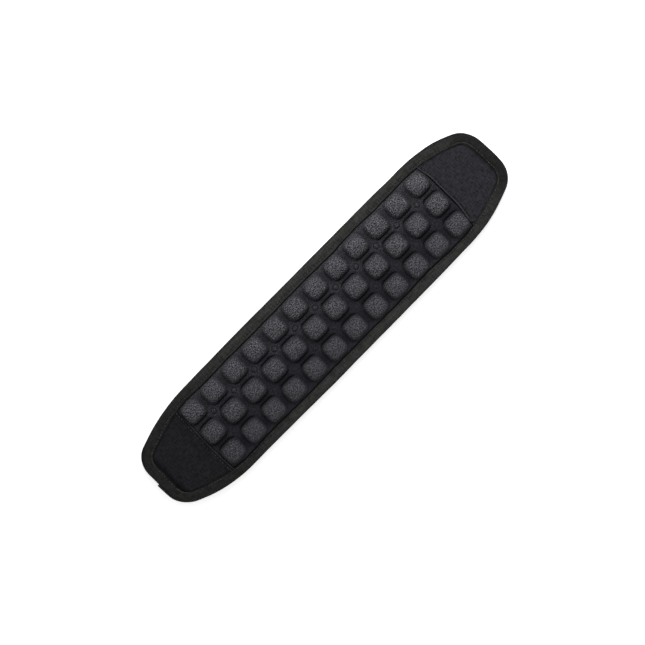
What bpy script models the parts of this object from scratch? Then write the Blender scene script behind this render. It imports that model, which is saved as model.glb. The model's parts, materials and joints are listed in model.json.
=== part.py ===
"""Air-cell strap pad: a flat padded sleeve that wraps round a bag strap.

The front carries three rows of air cells under one moulded fabric cover, a plain
fabric panel finishes each end, and a woven tape binds the edge all round. Behind
the pad a flap, sewn on along one long side, folds under the strap and closes with
hook and loop on the other side.

The pad lies with its cells up: +X along its length, +Z up, and the origin on the
surface it lies on, below its centre. Every dimension is in millimetres until a
mesh is written.
"""

import math

import bmesh
import bpy
from mathutils import Matrix, Vector

MM = 0.001
GAP = 0.3  # between layers that lie on each other

# Outline of the pad, seen from above
HALF_LENGTH = 180.0
HALF_WIDTH = 40.0
END_BOW = 0.5
END_HALF_WIDTH = 24.2
SHOULDER_X = 142.5
SHOULDER_HALF_WIDTH = 39.8
END_CORNER_RADIUS = 20.0
SHOULDER_RADIUS = 130.0
END_CORNER_STEPS = 5
SHOULDER_STEPS = 4

# Air cells
ROWS = 3
COLUMNS = 12
PITCH_X = 22.1
PITCH_Y = 21.5
CELL_HALF = 8.6
CELL_RADIUS = 5.0
CELL_HEIGHT = 6.5
CELL_SHOULDER_INSET = 0.6
CELL_SHOULDER_HEIGHT = 4.55
CELL_SHOULDER_RADIUS = 4.4
CELL_TOP_INSET = 2.2
CELL_TOP_RADIUS = 3.2
CELL_CROWN = 0.5
CELL_CORNER_STEPS = 2

# Thickness of each layer
BACK_THICKNESS = 0.6
FOAM_THICKNESS = 1.4
BASE_FILM_THICKNESS = 0.3
CELL_FILM_THICKNESS = 0.4
COVER_THICKNESS = 0.6
PANEL_THICKNESS = 0.4
TAPE_THICKNESS = 0.6
FLAP_THICKNESS = 1.2
MARGIN_THICKNESS = 0.8
LOOP_THICKNESS = 1.4
HOOK_THICKNESS = 1.2
GRIP_THICKNESS = 0.8

# Heights of the pad's layers, each on top of the one below
BACK_BOTTOM = 7.3
BACK_TOP = BACK_BOTTOM + BACK_THICKNESS
FOAM_TOP = BACK_TOP + GAP + FOAM_THICKNESS
BASE_FILM_TOP = FOAM_TOP + GAP + BASE_FILM_THICKNESS
CELL_FILM_TOP = BASE_FILM_TOP + GAP + CELL_FILM_THICKNESS
PLATEAU_TOP = CELL_FILM_TOP + GAP + COVER_THICKNESS
COVER_EDGE_TOP = FOAM_TOP + GAP + COVER_THICKNESS
PANEL_TOP = COVER_EDGE_TOP + GAP + PANEL_THICKNESS

# Edge binding: a tape folded over the edge, with its ends lapped at -X
TAPE_WIDTH = 8.1
TAPE_TOP = PANEL_TOP + GAP + TAPE_THICKNESS
TAPE_BOTTOM = BACK_BOTTOM - GAP - TAPE_THICKNESS
TAPE_SECTION = [  # inset, share of the half height, and thicknesses in and down to the inner face
    (TAPE_WIDTH, 1.0, 0.0, 1.0),
    (1.6, 1.0, 0.5, 1.0),
    (0.5, 0.7, 0.9, 0.7),
    (0.0, 0.25, 1.0, 0.2),
]
LAYER_INSET = 2.2
FOAM_INSET = 3.0
LAP_Y = 1.2
LAP_STEP = 0.15
LAP_RISE = 1.1
LAP_THICKENING = LAP_RISE / 3
LAP_FADE = 30.0

# Raised field that the cells stand on
PLATEAU_HALF_X = 130.6
PLATEAU_HALF_Y = 30.4
PLATEAU_RADIUS = 5.0
PLATEAU_SLOPE = 1.3
FILM_HALF_X = 130.0
FILM_HALF_Y = 29.6
FILM_CELL_HALF = 7.4
FILM_CELL_RADIUS = 4.2
FILM_CELL_HEIGHT = 5.7
FILM_CELL_TOP_HALF = 5.8
FILM_CELL_TOP_RADIUS = 3.0
FILM_CELL_CORNER_STEPS = 1
PANEL_HEM_X = 132.2

# Threads
THREAD_RADIUS = 0.25
THREAD_GAP = 0.2
BINDING_SEAM_INSET = 5.8
HEM_SEAM_INSET = 2.4
HEM_SEAM_X = PANEL_HEM_X + HEM_SEAM_INSET
HEM_SEAM_HALF_Y = 30.2

# Sleeve behind the pad: the flap's profile runs from its fold to its free edge
SLEEVE_HALF_LENGTH = 125.0
MARGIN_Y = (-37.6, -34.9)
MARGIN_SEAM_Y = -36.2
FOLD_Y = -37.8
FOLD_Z = 5.0
FLAP_ROOT_Y = -37.1
FLAP_ROOT_TOP = 4.9
FLAP_FLAT_START_Y = -28.6
FLAP_STEP_START_Y = 13.0
FLAP_STEP_END_Y = 15.8
FLAP_TIP_Y = 31.0
FLAP_CORNER_RADIUS = 10.0
LOOP_HALF_LENGTH = 120.0
LOOP_Y = (15.5, 30.5)
HOOK_HALF_LENGTH = 117.0
HOOK_Y = (18.0, 28.0)
STRIP_SEAM_MARGIN = 1.2
GRIP_HALF_LENGTH = 118.0
GRIP_Y = (-24.0, 10.0)
STRIP_CORNER_RADIUS = 3.0
CORNER_STEPS = 4
SHARP_ANGLE = 40  # degrees

SLEEVE_TOP = BACK_BOTTOM - GAP
LOOP_BOTTOM = SLEEVE_TOP - LOOP_THICKNESS
HOOK_TOP = LOOP_BOTTOM - GAP
HOOK_BOTTOM = HOOK_TOP - HOOK_THICKNESS
FLAP_RAISED_TOP = HOOK_BOTTOM - GAP
MARGIN_TOP = TAPE_BOTTOM - GAP


# ---------------------------------------------------------------- outlines


def arc_corner(before, corner, after, radius, steps):
    """Points of the arc that rounds one corner of a counter-clockwise outline."""
    if radius <= 0:
        return [corner]
    back = (before - corner).normalized()
    ahead = (after - corner).normalized()
    half_angle = back.angle(ahead) / 2
    centre = corner + (back + ahead).normalized() * radius / math.sin(half_angle)
    start = corner + back * radius / math.tan(half_angle) - centre
    turn = math.pi - 2 * half_angle
    return [centre + Matrix.Rotation(turn * k / steps, 2) @ start for k in range(steps + 1)]


def rounded(corners, radii, steps):
    """A closed outline with each corner rounded by its own radius."""
    points = []
    for i, corner in enumerate(corners):
        after = corners[(i + 1) % len(corners)]
        points += arc_corner(corners[i - 1], corner, after, radii[i], steps[i])
    return points


def inset_corners(corners, inset):
    """Corners of the outline whose sides lie a distance inside the given ones."""
    moved = []
    for i, corner in enumerate(corners):
        along_in = (corner - corners[i - 1]).normalized()
        along_out = (corners[(i + 1) % len(corners)] - corner).normalized()
        normal_in = Vector((-along_in.y, along_in.x))
        normal_out = Vector((-along_out.y, along_out.x))
        bisector = normal_in + normal_out
        moved.append(corner + bisector * 2 * inset / bisector.length_squared)
    return moved


def pad_outline(inset):
    """The pad's outline moved inwards, counter-clockwise from the middle of the -X end."""
    half = [
        Vector((-HALF_LENGTH, 0)),
        Vector((END_BOW - HALF_LENGTH, -END_HALF_WIDTH)),
        Vector((-SHOULDER_X, -SHOULDER_HALF_WIDTH)),
        Vector((0, -HALF_WIDTH)),
        Vector((SHOULDER_X, -SHOULDER_HALF_WIDTH)),
        Vector((HALF_LENGTH - END_BOW, -END_HALF_WIDTH)),
    ]
    corners = inset_corners(half + [-corner for corner in half], inset)
    end_radius = END_CORNER_RADIUS - inset
    shoulder_radius = SHOULDER_RADIUS - inset
    radii = [0, end_radius, shoulder_radius, 0, shoulder_radius, end_radius] * 2
    steps = [0, END_CORNER_STEPS, SHOULDER_STEPS, 0, SHOULDER_STEPS, END_CORNER_STEPS] * 2
    return rounded(corners, radii, steps)


def rectangle(x_range, y_range, radius, steps=CORNER_STEPS):
    """A rectangle with four rounded corners, counter-clockwise."""
    left, right = x_range
    near, far = y_range
    corners = [Vector((left, near)), Vector((right, near)), Vector((right, far)), Vector((left, far))]
    return rounded(corners, [radius] * 4, [steps] * 4)


def rounded_square(centre, half, radius, steps):
    """One level of an air cell."""
    return [centre + point for point in rectangle((-half, half), (-half, half), radius, steps)]


# ------------------------------------------------------------------ meshes


def add_loop(bm, outline, z):
    """Vertices of an outline at one height."""
    return [bm.verts.new((point.x, point.y, z)) for point in outline]


def bridge(bm, outer, inner):
    """Faces between two closed loops with the same number of vertices."""
    count = len(outer)
    for i in range(count):
        j = (i + 1) % count
        bm.faces.new((outer[i], outer[j], inner[j], inner[i]))


def fill(bm, outer, holes):
    """Triangles between a flat loop and the holes in it."""
    edges = []
    for loop in [outer] + holes:
        for i, vertex in enumerate(loop):
            before = loop[i - 1]
            edges.append(bm.edges.get((before, vertex)) or bm.edges.new((before, vertex)))
    bmesh.ops.triangle_fill(bm, use_beauty=True, edges=edges, normal=(0, 0, 1))


def add_dome(bm, base, centre, levels, crown_z):
    """An air cell above a loop that is already in the mesh."""
    lower = base
    for half, radius, z, steps in levels:
        upper = add_loop(bm, rounded_square(centre, half, radius, steps), z)
        bridge(bm, lower, upper)
        lower = upper
    if crown_z is None:
        bm.faces.new(lower)
        return
    crown = bm.verts.new((centre.x, centre.y, crown_z))
    for i, vertex in enumerate(lower):
        bm.faces.new((lower[i - 1], vertex, crown))


def cell_centres():
    """Centres of the cells, row by row."""
    for row in range(ROWS):
        for column in range(COLUMNS):
            x = (column - (COLUMNS - 1) / 2) * PITCH_X
            y = (row - (ROWS - 1) / 2) * PITCH_Y
            yield Vector((x, y))


def extrude_outline(outline, bottom, top):
    """A flat plate: an outline between two heights."""
    bm = bmesh.new()
    lower = add_loop(bm, outline, bottom)
    upper = add_loop(bm, outline, top)
    bridge(bm, lower, upper)
    bm.faces.new(upper)
    bm.faces.new(list(reversed(lower)))
    return bm


def tube(points, radius, closed):
    """A thin square-section tube along points that lie at one height."""
    bm = bmesh.new()
    sections = []
    for i, point in enumerate(points):
        before = points[i - 1] if closed or i > 0 else point
        after = points[(i + 1) % len(points)] if closed or i < len(points) - 1 else point
        along = (after - before).normalized()
        side = Vector((along.y, -along.x, 0)) * radius
        lift = Vector((0, 0, radius))
        sections.append([bm.verts.new(point + offset) for offset in (side, lift, -side, -lift)])
    for lower, upper in zip(sections, sections[1:]):
        bridge(bm, lower, upper)
    if closed:
        bridge(bm, sections[-1], sections[0])
    else:
        bm.faces.new(sections[0])
        bm.faces.new(sections[-1])
    return bm


def loop_at(outline, z):
    """An outline's points in space, at one height."""
    return [Vector((point.x, point.y, z)) for point in outline]


# --------------------------------------------------------------- materials


def make_material(name, colour, roughness):
    material = bpy.data.materials.new(name)
    material.use_nodes = True
    shader = material.node_tree.nodes["Principled BSDF"]
    shader.inputs["Base Color"].default_value = (*colour, 1.0)
    shader.inputs["Roughness"].default_value = roughness
    shader.inputs["Metallic"].default_value = 0.0
    return material


def make_materials():
    return {
        "cover_fabric": make_material("cover_fabric", (0.046, 0.046, 0.050), 0.85),
        "panel_fabric": make_material("panel_fabric", (0.020, 0.020, 0.024), 0.9),
        "binding_tape": make_material("binding_tape", (0.026, 0.026, 0.023), 0.8),
        "thread": make_material("thread", (0.030, 0.030, 0.030), 0.7),
        "cell_film": make_material("cell_film", (0.60, 0.62, 0.64), 0.25),
        "foam": make_material("foam", (0.10, 0.10, 0.11), 0.95),
        "back_fabric": make_material("back_fabric", (0.024, 0.024, 0.026), 0.9),
        "loop_pile": make_material("loop_pile", (0.022, 0.022, 0.024), 1.0),
        "hook_tape": make_material("hook_tape", (0.030, 0.030, 0.032), 0.6),
        "grip_rubber": make_material("grip_rubber", (0.035, 0.035, 0.037), 0.55),
    }


def make_object(name, bm, material, parent, solidify=0.0):
    """One sub-part. Its mesh is in millimetres until here, and its origin is its parent's."""
    bmesh.ops.recalc_face_normals(bm, faces=bm.faces)
    if solidify and sum(face.normal.z * face.calc_area() for face in bm.faces) < 0:
        bmesh.ops.reverse_faces(bm, faces=bm.faces)
    bmesh.ops.transform(bm, matrix=Matrix.Scale(MM, 4), verts=bm.verts)
    bmesh.ops.translate(bm, vec=-parent.location, verts=bm.verts)
    mesh = bpy.data.meshes.new(name)
    bm.to_mesh(mesh)
    bm.free()
    mesh.materials.append(material)
    mesh.shade_smooth()
    mesh.set_sharp_from_angle(angle=math.radians(SHARP_ANGLE))
    item = bpy.data.objects.new(name, mesh)
    item.parent = parent
    bpy.context.collection.objects.link(item)
    if solidify:
        modifier = item.modifiers.new("thickness", "SOLIDIFY")
        modifier.thickness = solidify * MM
        modifier.offset = -1.0
        modifier.use_even_offset = True
    return item


def make_empty(name, location):
    empty = bpy.data.objects.new(name, None)
    empty.location = location
    bpy.context.collection.objects.link(empty)
    return empty


# --------------------------------------------------------------- sub-parts


def make_front_cover(material, pad):
    """Moulded fabric: flat under the binding, a raised field inside it, and the cells on that."""
    bm = bmesh.new()
    steps = CELL_CORNER_STEPS
    edge = add_loop(bm, pad_outline(LAYER_INSET), COVER_EDGE_TOP)
    foot_x = PLATEAU_HALF_X + PLATEAU_SLOPE
    foot_y = PLATEAU_HALF_Y + PLATEAU_SLOPE
    foot_outline = rectangle((-foot_x, foot_x), (-foot_y, foot_y), PLATEAU_RADIUS + PLATEAU_SLOPE)
    field_outline = rectangle(
        (-PLATEAU_HALF_X, PLATEAU_HALF_X), (-PLATEAU_HALF_Y, PLATEAU_HALF_Y), PLATEAU_RADIUS
    )
    foot = add_loop(bm, foot_outline, COVER_EDGE_TOP)
    field = add_loop(bm, field_outline, PLATEAU_TOP)
    bridge(bm, foot, field)
    fill(bm, edge, [foot])
    bases = []
    for centre in cell_centres():
        bases.append(add_loop(bm, rounded_square(centre, CELL_HALF, CELL_RADIUS, steps), PLATEAU_TOP))
    fill(bm, field, bases)
    shoulder_z = PLATEAU_TOP + CELL_SHOULDER_HEIGHT
    top_z = PLATEAU_TOP + CELL_HEIGHT
    levels = [
        (CELL_HALF - CELL_SHOULDER_INSET, CELL_SHOULDER_RADIUS, shoulder_z, steps),
        (CELL_HALF - CELL_TOP_INSET, CELL_TOP_RADIUS, top_z, steps),
    ]
    for centre, base in zip(cell_centres(), bases):
        add_dome(bm, base, centre, levels, top_z + CELL_CROWN)
    make_object("front_cover", bm, material, pad, solidify=COVER_THICKNESS)


def make_cell_film(material, pad):
    """Thermoformed film: one sheet whose domes hold the air."""
    bm = bmesh.new()
    steps = FILM_CELL_CORNER_STEPS
    flange_outline = rectangle(
        (-FILM_HALF_X, FILM_HALF_X), (-FILM_HALF_Y, FILM_HALF_Y), PLATEAU_RADIUS
    )
    flange = add_loop(bm, flange_outline, CELL_FILM_TOP)
    bases = []
    for centre in cell_centres():
        outline = rounded_square(centre, FILM_CELL_HALF, FILM_CELL_RADIUS, steps)
        bases.append(add_loop(bm, outline, CELL_FILM_TOP))
    fill(bm, flange, bases)
    top = (FILM_CELL_TOP_HALF, FILM_CELL_TOP_RADIUS, CELL_FILM_TOP + FILM_CELL_HEIGHT, steps)
    for centre, base in zip(cell_centres(), bases):
        add_dome(bm, base, centre, [top], None)
    make_object("air_cell_film", bm, material, pad, solidify=CELL_FILM_THICKNESS)


def make_flat_layers(materials, pad):
    """Base film, foam and back cover."""
    film_outline = rectangle(
        (-FILM_HALF_X, FILM_HALF_X), (-FILM_HALF_Y, FILM_HALF_Y), PLATEAU_RADIUS
    )
    film = extrude_outline(film_outline, BASE_FILM_TOP - BASE_FILM_THICKNESS, BASE_FILM_TOP)
    make_object("cell_base_film", film, materials["cell_film"], pad)
    foam = extrude_outline(pad_outline(FOAM_INSET), FOAM_TOP - FOAM_THICKNESS, FOAM_TOP)
    make_object("foam_core", foam, materials["foam"], pad)
    back = extrude_outline(pad_outline(LAYER_INSET), BACK_BOTTOM, BACK_TOP)
    make_object("back_cover", back, materials["back_fabric"], pad)


def make_end_panel(name, side, material, thread, pad):
    """Plain fabric over one end of the pad, with its hem and the seam that holds it."""
    beyond = [point for point in pad_outline(LAYER_INSET) if side * point.x > PANEL_HEM_X]
    if side < 0:
        beyond = beyond[len(beyond) // 2 + 1:] + beyond[:len(beyond) // 2 + 1]
    first, last = beyond[0], beyond[-1]
    hem = [Vector((side * PANEL_HEM_X, last.y)), Vector((side * PANEL_HEM_X, first.y))]
    panel = extrude_outline(beyond + hem, PANEL_TOP - PANEL_THICKNESS, PANEL_TOP)
    make_object(f"{name}_end_panel", panel, material, pad)
    seam_z = PANEL_TOP + THREAD_GAP + THREAD_RADIUS
    ends = [Vector((side * HEM_SEAM_X, y, seam_z)) for y in (-HEM_SEAM_HALF_Y, HEM_SEAM_HALF_Y)]
    make_object(f"{name}_hem_thread", tube(ends, THREAD_RADIUS, False), thread, pad)


def binding_profile(thickness):
    """Upper half of the folded tape's section, as (inset from the edge, height above its middle)."""
    half = (TAPE_TOP - TAPE_BOTTOM) / 2
    profile = []
    for inset, share, inwards, down in TAPE_SECTION:
        profile.append((inset + inwards * thickness, share * half - down * thickness))
    return profile


def lap_outline(inset):
    """The pad's outline, broken where the tape's ends lap."""
    points = pad_outline(inset)
    start = Vector((points[0].x, LAP_Y))
    end = Vector((points[0].x, LAP_Y + LAP_STEP))
    return [start] + points[1:] + [end]


def lap_share():
    """How much of the lap's rise is left at each point of the binding, from 1 at the lap to 0."""
    points = lap_outline(0)
    shares = []
    travelled = 0.0
    for before, point in zip([points[0]] + points, points):
        travelled += (point - before).length
        shares.append(max(0.0, 1 - travelled / LAP_FADE))
    return shares


def make_edge_binding(material, pad):
    """Woven tape folded over the edge all round, as one ring with the lap's step in it."""
    bm = bmesh.new()
    middle = (TAPE_TOP + TAPE_BOTTOM) / 2
    shares = lap_share()
    outer_half = binding_profile(0.0)
    inner_half = binding_profile(TAPE_THICKNESS)
    outer = outer_half + [(inset, -z) for inset, z in reversed(outer_half)]
    inner = inner_half + [(inset, -z) for inset, z in reversed(inner_half)]
    rings = []
    for inset, z in outer:
        flat = lap_outline(inset)
        proud = lap_outline(inset - LAP_RISE)
        ring = []
        for point, outside, share in zip(flat, proud, shares):
            place = point.lerp(outside, share) if inset < TAPE_WIDTH else point
            height = z + math.copysign(LAP_THICKENING * share, z)
            ring.append(bm.verts.new((place.x, place.y, middle + height)))
        rings.append(ring)
    for inset, z in reversed(inner):
        rings.append(add_loop(bm, lap_outline(inset), middle + z))
    for ring, following in zip(rings, rings[1:] + rings[:1]):
        bridge(bm, ring, following)
    make_object("edge_binding", bm, material, pad)


def make_binding_threads(material, pad):
    """One row of stitching round the binding, seen on its front and on its back."""
    outline = pad_outline(BINDING_SEAM_INSET)
    clearance = THREAD_GAP + THREAD_RADIUS + LAP_THICKENING
    front = loop_at(outline, TAPE_TOP + clearance)
    back = loop_at(outline, TAPE_BOTTOM - clearance)
    make_object("binding_thread_front", tube(front, THREAD_RADIUS, True), material, pad)
    make_object("binding_thread_back", tube(back, THREAD_RADIUS, True), material, pad)


def make_flap_margin(material, thread, pad):
    """The part of the flap that is sewn to the binding, as far as the fold it turns on."""
    bottom = MARGIN_TOP - MARGIN_THICKNESS
    outline = rectangle((-SLEEVE_HALF_LENGTH, SLEEVE_HALF_LENGTH), MARGIN_Y, 0.0)
    make_object("flap_sewn_margin", extrude_outline(outline, bottom, MARGIN_TOP), material, pad)
    seam_z = bottom - THREAD_GAP - THREAD_RADIUS
    seam_x = SLEEVE_HALF_LENGTH - STRIP_SEAM_MARGIN
    seam = [Vector((x, MARGIN_SEAM_Y, seam_z)) for x in (-seam_x, seam_x)]
    make_object("flap_margin_thread", tube(seam, THREAD_RADIUS, False), thread, pad)


def strip(half_length, y_range, bottom, top):
    """A rounded strip that lies along the sleeve."""
    outline = rectangle((-half_length, half_length), y_range, STRIP_CORNER_RADIUS)
    return extrude_outline(outline, bottom, top)


def strip_seam(half_length, y_range, z):
    """The rectangle of stitching that holds a strip, just inside its edge."""
    x_range = (STRIP_SEAM_MARGIN - half_length, half_length - STRIP_SEAM_MARGIN)
    inner_y = (y_range[0] + STRIP_SEAM_MARGIN, y_range[1] - STRIP_SEAM_MARGIN)
    outline = rectangle(x_range, inner_y, STRIP_CORNER_RADIUS - STRIP_SEAM_MARGIN)
    return tube(loop_at(outline, z), THREAD_RADIUS, True)


def make_back_strips(materials, pad):
    """Loop strip with its stitching, and the grip strip that keeps the pad from sliding."""
    loop = strip(LOOP_HALF_LENGTH, LOOP_Y, LOOP_BOTTOM, SLEEVE_TOP)
    make_object("loop_strip", loop, materials["loop_pile"], pad)
    seam_z = LOOP_BOTTOM - THREAD_GAP - THREAD_RADIUS
    seam = strip_seam(LOOP_HALF_LENGTH, LOOP_Y, seam_z)
    make_object("loop_strip_thread", seam, materials["thread"], pad)
    grip = strip(GRIP_HALF_LENGTH, GRIP_Y, SLEEVE_TOP - GRIP_THICKNESS, SLEEVE_TOP)
    make_object("grip_strip", grip, materials["grip_rubber"], pad)


def flap_top(y):
    """Height of the flap's inner face: down from the fold, flat under the strap, up to the hooks."""
    profile = [
        (FLAP_ROOT_Y, FLAP_ROOT_TOP),
        (FLAP_FLAT_START_Y, FLAP_THICKNESS),
        (FLAP_STEP_START_Y, FLAP_THICKNESS),
        (FLAP_STEP_END_Y, FLAP_RAISED_TOP),
        (FLAP_TIP_Y, FLAP_RAISED_TOP),
    ]
    for (y_before, z_before), (y_after, z_after) in zip(profile, profile[1:]):
        if y <= y_after:
            share = (y - y_before) / (y_after - y_before)
            return z_before + (z_after - z_before) * share
    return FLAP_RAISED_TOP


def make_flap(materials, flap):
    """The wrap-over flap, one folded sheet with its two free corners rounded."""
    corners = [
        Vector((-SLEEVE_HALF_LENGTH, FLAP_ROOT_Y)),
        Vector((SLEEVE_HALF_LENGTH, FLAP_ROOT_Y)),
        Vector((SLEEVE_HALF_LENGTH, FLAP_TIP_Y)),
        Vector((-SLEEVE_HALF_LENGTH, FLAP_TIP_Y)),
    ]
    radii = [0, 0, FLAP_CORNER_RADIUS, FLAP_CORNER_RADIUS]
    outline = rounded(corners, radii, [0, 0, CORNER_STEPS, CORNER_STEPS])
    bm = bmesh.new()
    bm.faces.new(add_loop(bm, outline, 0.0))
    for fold_y in (FLAP_FLAT_START_Y, FLAP_STEP_START_Y, FLAP_STEP_END_Y):
        geometry = bm.verts[:] + bm.edges[:] + bm.faces[:]
        bmesh.ops.bisect_plane(bm, geom=geometry, plane_co=(0, fold_y, 0), plane_no=(0, 1, 0))
    for vertex in bm.verts:
        vertex.co.z = flap_top(vertex.co.y)
    make_object("sleeve_flap", bm, materials["back_fabric"], flap, solidify=FLAP_THICKNESS)


def make_flap_strips(materials, flap):
    """Hook strip on the flap's inner face, and its stitching on the outer face."""
    hook = strip(HOOK_HALF_LENGTH, HOOK_Y, HOOK_BOTTOM, HOOK_TOP)
    make_object("hook_strip", hook, materials["hook_tape"], flap)
    seam_z = FLAP_RAISED_TOP - FLAP_THICKNESS - THREAD_GAP - THREAD_RADIUS
    seam = strip_seam(HOOK_HALF_LENGTH, HOOK_Y, seam_z)
    make_object("hook_strip_thread", seam, materials["thread"], flap)


def main():
    for item in list(bpy.data.objects):
        bpy.data.objects.remove(item, do_unlink=True)
    materials = make_materials()
    pad = make_empty("pad", (0, 0, 0))
    flap = make_empty("flap_hinge", (0, FOLD_Y * MM, FOLD_Z * MM))
    bpy.context.view_layer.update()
    make_front_cover(materials["cover_fabric"], pad)
    make_cell_film(materials["cell_film"], pad)
    make_flat_layers(materials, pad)
    for name, side in (("left", -1), ("right", 1)):
        make_end_panel(name, side, materials["panel_fabric"], materials["thread"], pad)
    make_edge_binding(materials["binding_tape"], pad)
    make_binding_threads(materials["thread"], pad)
    make_flap_margin(materials["back_fabric"], materials["thread"], pad)
    make_back_strips(materials, pad)
    make_flap(materials, flap)
    make_flap_strips(materials, flap)


main()
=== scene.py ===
"""Looks of the air-cell strap pad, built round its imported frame.

Shapes are worked out in millimetres and written in metres. The pad lies with its
cells up: +X along its length, +Y across it, +Z up. Every cloth has a UV map named
"cloth", in metres, that its weave follows.
"""

import json
import math

import bpy
import numpy as np
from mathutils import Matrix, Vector

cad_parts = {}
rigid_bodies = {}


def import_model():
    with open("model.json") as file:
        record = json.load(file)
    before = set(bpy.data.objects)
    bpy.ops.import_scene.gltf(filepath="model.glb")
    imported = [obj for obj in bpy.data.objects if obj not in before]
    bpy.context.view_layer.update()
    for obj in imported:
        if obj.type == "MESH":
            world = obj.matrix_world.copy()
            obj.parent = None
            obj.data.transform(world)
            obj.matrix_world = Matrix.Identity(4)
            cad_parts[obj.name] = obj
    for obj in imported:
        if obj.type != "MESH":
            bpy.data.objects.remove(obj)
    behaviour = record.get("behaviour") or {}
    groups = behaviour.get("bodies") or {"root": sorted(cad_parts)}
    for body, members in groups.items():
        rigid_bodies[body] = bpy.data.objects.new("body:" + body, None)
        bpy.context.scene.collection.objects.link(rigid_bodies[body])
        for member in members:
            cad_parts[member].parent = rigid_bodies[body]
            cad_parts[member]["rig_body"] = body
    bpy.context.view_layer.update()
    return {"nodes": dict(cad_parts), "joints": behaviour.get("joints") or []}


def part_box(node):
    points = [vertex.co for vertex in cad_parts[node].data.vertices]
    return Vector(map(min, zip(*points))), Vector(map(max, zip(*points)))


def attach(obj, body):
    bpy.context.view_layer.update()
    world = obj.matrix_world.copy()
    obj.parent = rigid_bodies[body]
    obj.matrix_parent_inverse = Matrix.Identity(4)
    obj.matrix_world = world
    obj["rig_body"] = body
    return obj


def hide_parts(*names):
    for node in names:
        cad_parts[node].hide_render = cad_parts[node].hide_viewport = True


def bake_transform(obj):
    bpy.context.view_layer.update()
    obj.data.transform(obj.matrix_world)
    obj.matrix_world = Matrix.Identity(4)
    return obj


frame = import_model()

MM = 0.001
CLOTH_UV = "cloth"
SHARP_ANGLE = math.radians(50)

# Outline of the pad, as in the frame
HALF_LENGTH = 180.0
HALF_WIDTH = 40.0
END_BOW = 0.5
END_HALF_WIDTH = 24.2
SHOULDER_X = 142.5
SHOULDER_HALF_WIDTH = 39.8
END_CORNER_RADIUS = 20.0
SHOULDER_RADIUS = 130.0
ARC_STEP = 0.5
NORMAL_REACH = 1.5

# Air cells
ROWS = 3
COLUMNS = 12
PITCH_X = 22.1
PITCH_Y = 21.5
CELL_HALF_X = 9.25
CELL_HALF_Y = 8.6
CELL_RADIUS = 5.8
CELL_WALL_WIDTH = 2.4
CELL_WALL_HEIGHT = 2.5
CELL_PILLOW = 2.25
CELL_SHIFT = 0.14
CELL_SIZE_SPREAD = 0.10
CELL_SAG = 0.16
CELL_SAG_RANGE = (-0.15, 0.3)
CELL_TILT = 0.004
TAUT_REACH = 3.0
COVER_THICKNESS = 0.5
COVER_LEAST_THICKNESS = 0.2
COVER_END_X = 130.9
COVER_INSET = 4.5
FILM_CLEARANCE = 0.06
FILM_FLAT_RISE = 0.7
FILM_HALF_LENGTH = 130.4
FILM_HALF_WIDTH = 30.2
VALLEY_Z = 12.3
COVER_EDGE_Z = 10.4
# Creases at the cells' feet are pressed in and also get painted shade
CREASE_OFFSET = 0.28
CREASE_WIDTH = 0.56
CREASE_DEPTH = 1.2
CREASE_SIDE_SHARE = 0.12
BAR_HALF_LENGTH = 6.0
BAR_HALF_WIDTH = 1.3
BAR_RISE = 0.55
RING_RADIUS = 2.2
RING_WIDTH = 0.45
RING_DEPTH = 0.5
DOT_RADIUS = 1.8
DOT_RISE = 0.8
CROSSING_RISE = 0.5
CROSSING_REACH = 4.5
# Painted shade on the cells' sides that face the lamp
LIT_SIDE_PAINTED_SHADE = 0.48
GRID_STEPS = 40
GRID_CROWDING = 0.45

# Cloth simulation of the cover, on an enlarged copy
CLOTH_STEP = 1.4
CLOTH_ENLARGEMENT = 50
CLOTH_FRAMES = 20
CLOTH_PRESSURE = 12.0
CLOTH_SLACK = 0.03
CLOTH_CAP = 0.9
CLOTH_SWELL = 0.4
CLOTH_HELD_TAUT = 0.05

# Binding tape
TAPE_WIDTH = 8.1
TAPE_END_WIDTH = 8.7
TAPE_BACK_WIDTH = 8.4
TAPE_UNEVENNESS = 0.25
TAPE_THICKNESS = 0.6
TAPE_NOSE_INSET = 2.6
TAPE_PUFF = 0.22
SELVEDGE_THINNING = 0.45
WIDENING_X = 132
WIDENING_REACH = 26
BACK_END_WIDENING = 0.5
TAPE_TOP_Z = 11.8
TAPE_BOTTOM_Z = 6.7
SEAM_INSET = 6.4
SEAM_END_INSET = 7.5
SEAM_SPREAD = 0.5
LAP_Y = 1.2
LAP_LENGTH = 10.0
LAP_RISE = 1.1
LAP_THICKENING = 0.65
LAP_FADE = 22.0
STATION = 0.61

# Unevenness of the sewn outline: place along the edge, reach, and amount outwards
EDGE_BULGE = 0.3
EDGE_WAVES = (
    (6, 12, 0.4),
    (32, 14, -0.55),
    (108, 34, -0.5),
    (176, 12, 0.25),
    (328, 30, -0.6),
    (366, 14, -0.45),
    (402, 12, 0.4),
    (427, 8, -0.35),
    (455, 16, 0.65),
    (500, 14, -0.5),
    (664, 26, 0.35),
    (745, 24, -0.5),
    (788, 12, 0.9),
)

# Stitching
STITCH_PITCH = 2.7
STITCH_LENGTH = 2.0
THREAD_RADIUS = 0.2
STRIP_RADIUS = 3.0
STRIP_SEAM = 1.2

# End panels, their flat size in metres
PANEL_Z = 10.75
PANEL_LIP = 0.42
PANEL_INSET = 4.6
PANEL_START_X = 131.0
PANEL_FLAT = (0.071, 0.046)
PANEL_HEM_LINES = (0.0, 0.12, 0.35, 0.7, 1.1, 1.5, 1.9, 2.15, 2.4, 2.65, 2.9, 3.3)
HEM_SEAM_INSET = {"left": 2.8, "right": 2.1}
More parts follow.
